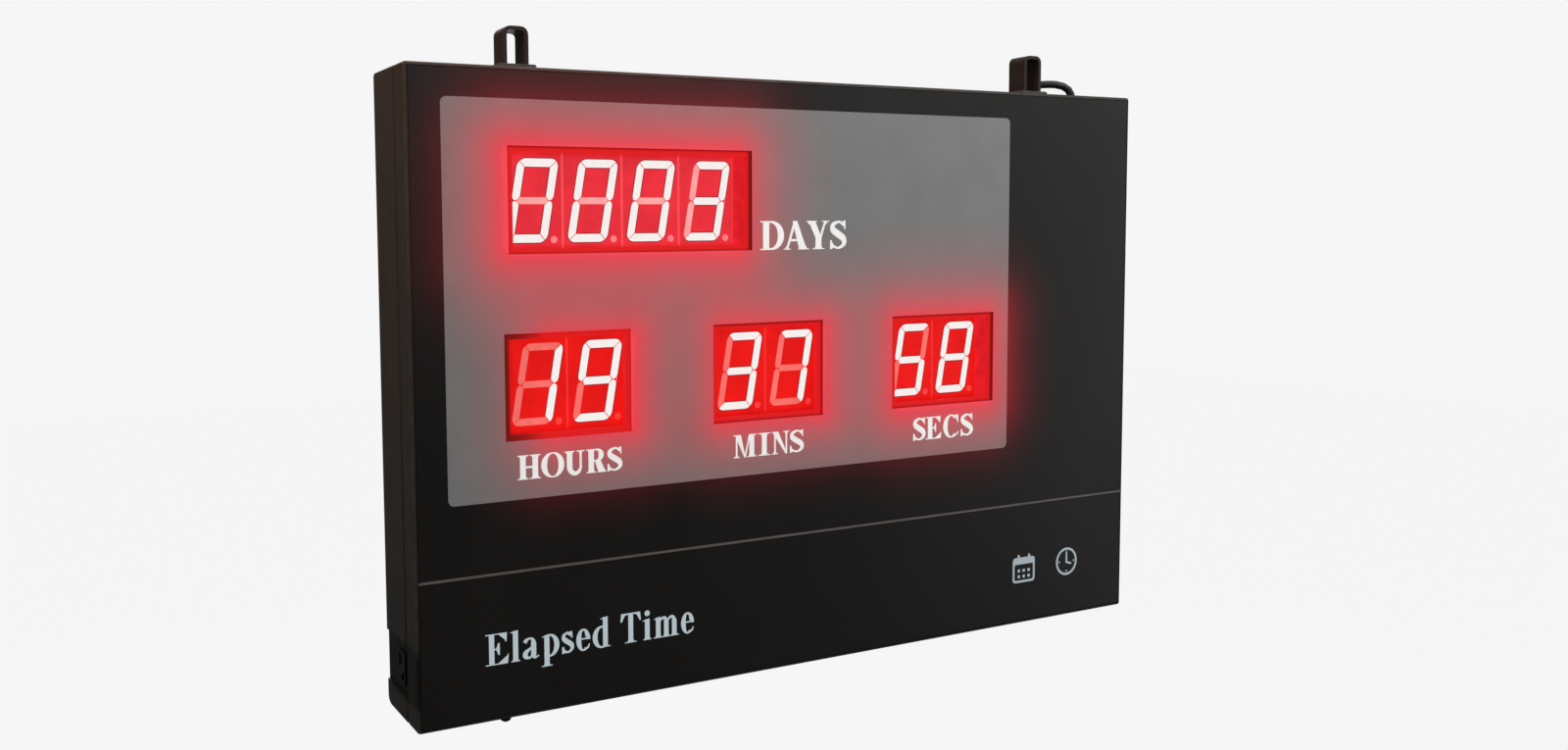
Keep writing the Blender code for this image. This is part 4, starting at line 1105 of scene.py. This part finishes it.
def plain_light(name, colour, lump, low, high):
    """A surface that shows only its own light, a little uneven."""
    made = Recipe(name, Specular_IOR_Level=0.0)
    made.put("Base Color", (0, 0, 0, 1))
    made.shine(made.scaled(colour, made.patches(lump, 3, low, high)))
    return made.material


def segment_unlit(name, colour, glow):
    made = Recipe(f"segment_unlit_{name}", Roughness=0.42, Specular_IOR_Level=0.25)
    base = made.scaled(colour, made.patches(0.004, 3, 0.9, 1.06))
    # painted light: the unlit segments and points glow in their pale colour, a little brighter near the lit
    # digits
    made.backlight(base, 0.35, made.spread(made.group(glow), 0.84, 0.98, 0.05, 0.62), 0.86)
    made.bump(made.noise(0.0012, 3), 0.00003, 0.4)
    return made.material


def backing_red(glow):
    """A red film that glows with painted light, bright beside the digits and dark where the window hides it.
    """
    made = Recipe("backing_red", Roughness=0.4)
    base = made.scaled((0.80, 0.014, 0.022), made.patches(0.006, 4, 0.8, 1.1))
    made.backlight(base, 0.28, made.spread(made.group(glow), 0.1, 0.98, 0.10, 0.45), 0.95)
    made.bump(made.noise(0.002, 3), 0.00005, 0.5)
    return made.material


def moulded(name, colour, roughness, grain=0.0008, depth=0.00003, **fixed):
    """Moulded plastic or rubber with a fine grain."""
    made = Recipe(name, **fixed)
    made.put("Base Color", made.mottled(colour, 0.10, 0.012))
    made.put("Roughness", made.patches(0.005, 4, roughness - 0.06, roughness + 0.08))
    made.bump(made.noise(grain, 3), depth, 0.6)
    return made.material


def metal(name, colour, roughness, stretch=(1, 1, 1), metallic=1.0):
    """Metal with fine drawn or turned lines and duller patches."""
    made = Recipe(name, Metallic=metallic)
    made.put("Base Color", made.mottled(colour, 0.15, 0.004))
    lines = made.noise(0.0024, 4, stretch)
    made.put("Roughness", made.spread(lines, roughness - 0.08, roughness + 0.14))
    made.bump(lines, 0.00002, 0.5)
    return made.material


def painted_strap():
    """Satin black paint on steel strap, rubbed through to brown-grey here and there."""
    made = Recipe("strap_paint", Specular_IOR_Level=0.24)
    base = made.mottled((0.0400, 0.0225, 0.0185), 0.14, 0.008)
    made.put("Base Color", made.mix(made.patches(0.0028, 6, 0, 0.5, 0.60, 0.74), base, (0.085, 0.070, 0.060)))
    made.put("Roughness", made.patches(0.004, 4, 0.36, 0.56))
    made.bump(made.noise(0.0015, 4), 0.00004, 0.5)
    return made.material


def circuit_board(name, mask, trace):
    """Solder mask with the raised runs of its copper showing."""
    made = Recipe(name, Specular_IOR_Level=0.5)
    x, _, z = made.axes()
    drift = made.times(made.noise(0.03, 1), TRACK_DRIFT)

    def runs(along, pitch):
        across = made.maths("FRACT", made.maths("DIVIDE", made.plus(along, drift), pitch))
        return made.spread(made.apart(across, 0.5), 1, 0, 0.10, 0.16)

    patch = made.patches(0.018, 0, 0, 1, 0.49, 0.51)
    upright = made.times(runs(x, UPRIGHT_TRACKS), patch)
    track = made.plus(upright, made.times(runs(z, LEVEL_TRACKS), made.less(1.0, patch)))
    made.put("Base Color", made.mix(track, made.mottled(mask, 0.08, 0.03), trace))
    made.put("Roughness", made.patches(0.004, 3, 0.26, 0.40))
    made.bump(track, 0.00004, 0.6)
    return made.material


def ribbon_grey():
    """Flat ribbon: a ridge for each wire, and one wire marked red."""
    made = Recipe("ribbon_grey", Roughness=0.45)
    low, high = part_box("ribbon_cable")
    x, _, _ = made.axes()
    wires = made.maths("DIVIDE", made.less(x, low.x), (high.x - low.x) / RIBBON_WIRES)
    ridge = made.apart(made.maths("FRACT", wires), 0.5)
    marked = made.maths("LESS_THAN", wires, 1.0)
    colour = made.mix(marked, made.mottled((0.36, 0.36, 0.38), 0.06, 0.03), (0.5, 0.03, 0.03))
    # painted shade: darker in the grooves between the wires
    made.put("Base Color", made.mix(made.spread(ridge, 0, 1, 0.38, 0.5), colour, (0.14, 0.14, 0.15)))
    made.bump(made.less(0.5, ridge), 0.0004, 0.7)
    return made.material


def dress(names, material):
    for name in names:
        node = NODES[name]
        if not node.material_slots:
            node.data.materials.append(material)
        for slot in node.material_slots:
            slot.material = material


def main():
    add_camera()
    add_lead(moulded("lead_jacket", (0.014, 0.014, 0.015), 0.46, 0.0012, 0.00005))
    add_stage()

    everywhere = glow_tree("glow_front", GLOW.values(), 1.0, 0.015)
    on_black = glow_tree("glow_on_black", GLOW.values(), 0.74, 0.004)
    on_ledges = glow_tree("glow_on_ledges", LEDGE_GLOW)
    dress(["front_cover", "rear_housing", "back_panel"], case_plastic(on_black, on_ledges))
    dress(["display_fascia", "lower_fascia"], fascia_satin(on_black))
    dress(["divider_strip"], metal("divider_satin", (0.186, 0.187, 0.185), 0.42, (0.05, 1, 1), 0.1))
    for group, reading in READINGS.items():
        near = glow_tree(f"glow_{group}", [GLOW[group]])
        dress(numbered(f"{group}_digit", len(reading)), digit_face(group, near))
    dress(["display_board"], circuit_board("display_mask", (0.012, 0.014, 0.012), (0.02, 0.024, 0.02)))
    dress(["main_board"], circuit_board("board_mask", (0.008, 0.085, 0.030), (0.022, 0.16, 0.06)))
    steel = metal("blackened_steel", (0.085, 0.083, 0.082), 0.36)
    for stem in ("display_screw", "main_board_screw", "hanger_screw", "cover_screw", "back_panel_screw"):
        dress(numbered(stem, 4), steel)
    dress(["controller_chip", "battery_holder"], moulded("chip_resin", (0.011, 0.011, 0.012), 0.55))
    dress(["clock_battery"], metal("cell_steel", (0.60, 0.60, 0.58), 0.22, (1, 1, 0.1)))
    dress(["terminal_block"], moulded("terminal_green", (0.02, 0.21, 0.065), 0.42))
    dress(["voltage_regulator"], metal("heat_sink", (0.62, 0.62, 0.64), 0.34, (0.08, 1, 1)))
    dress(["ribbon_cable"], ribbon_grey())
    dress(["inner_lead", "switch_lead", "button_lead"], moulded("wire_jacket", (0.013, 0.013, 0.014), 0.42))
    dress(["lead_socket"], moulded("socket_black", (0.016, 0.016, 0.017), 0.40))
    dress(["left_hanger", "right_hanger"], painted_strap())
    dress(["left_hanger_collar", "right_hanger_collar", "lead_grommet"],
          moulded("rubber_brown", (0.072, 0.058, 0.050), 0.66, 0.0006, 0.00004))
    dress(["power_switch_body", "reset_button_body"],
          moulded("control_black", (0.006, 0.006, 0.007), 0.50, Specular_IOR_Level=0.2))
    dress(["power_rocker", "reset_button_cap"],
          moulded("rocker_black", (0.0065, 0.0065, 0.0075), 0.42, 0.0015, 0.00001, Specular_IOR_Level=0.22))
    dress(["reset_button_nut"], metal("nut_plate", (0.56, 0.55, 0.52), 0.28))

    add_field(printed("field_ink", (0.345, 0.353, 0.367), everywhere))
    unlit, points = {}, {}
    for kind in ("days", "clock"):
        unlit[kind] = segment_unlit(kind, UNLIT_COLOURS[kind], everywhere)
        points[kind] = segment_unlit(f"{kind}_point", POINT_COLOURS[kind], everywhere)
    lit = plain_light("segment_lit", (0.925, 0.872, 0.85), 0.0022, 0.97, 1.02)
    # painted shade: a dark red outline, glowing faintly, round each lit segment
    rim = plain_light("segment_shade_rim", (0.33, 0.014, 0.026), 0.003, 0.85, 1.1)
    add_digits(lit, rim, unlit, points)
    add_backing(backing_red(everywhere))
    white = printed("white_ink", (0.86, 0.85, 0.84), light=0.55)
    add_labels(white, printed("pale_ink", (0.44, 0.53, 0.57), light=0.6))
    marks = printed("mark_ink", (0.40, 0.48, 0.52), light=0.45)
    add_calendar(marks)
    add_clock(marks)


main()
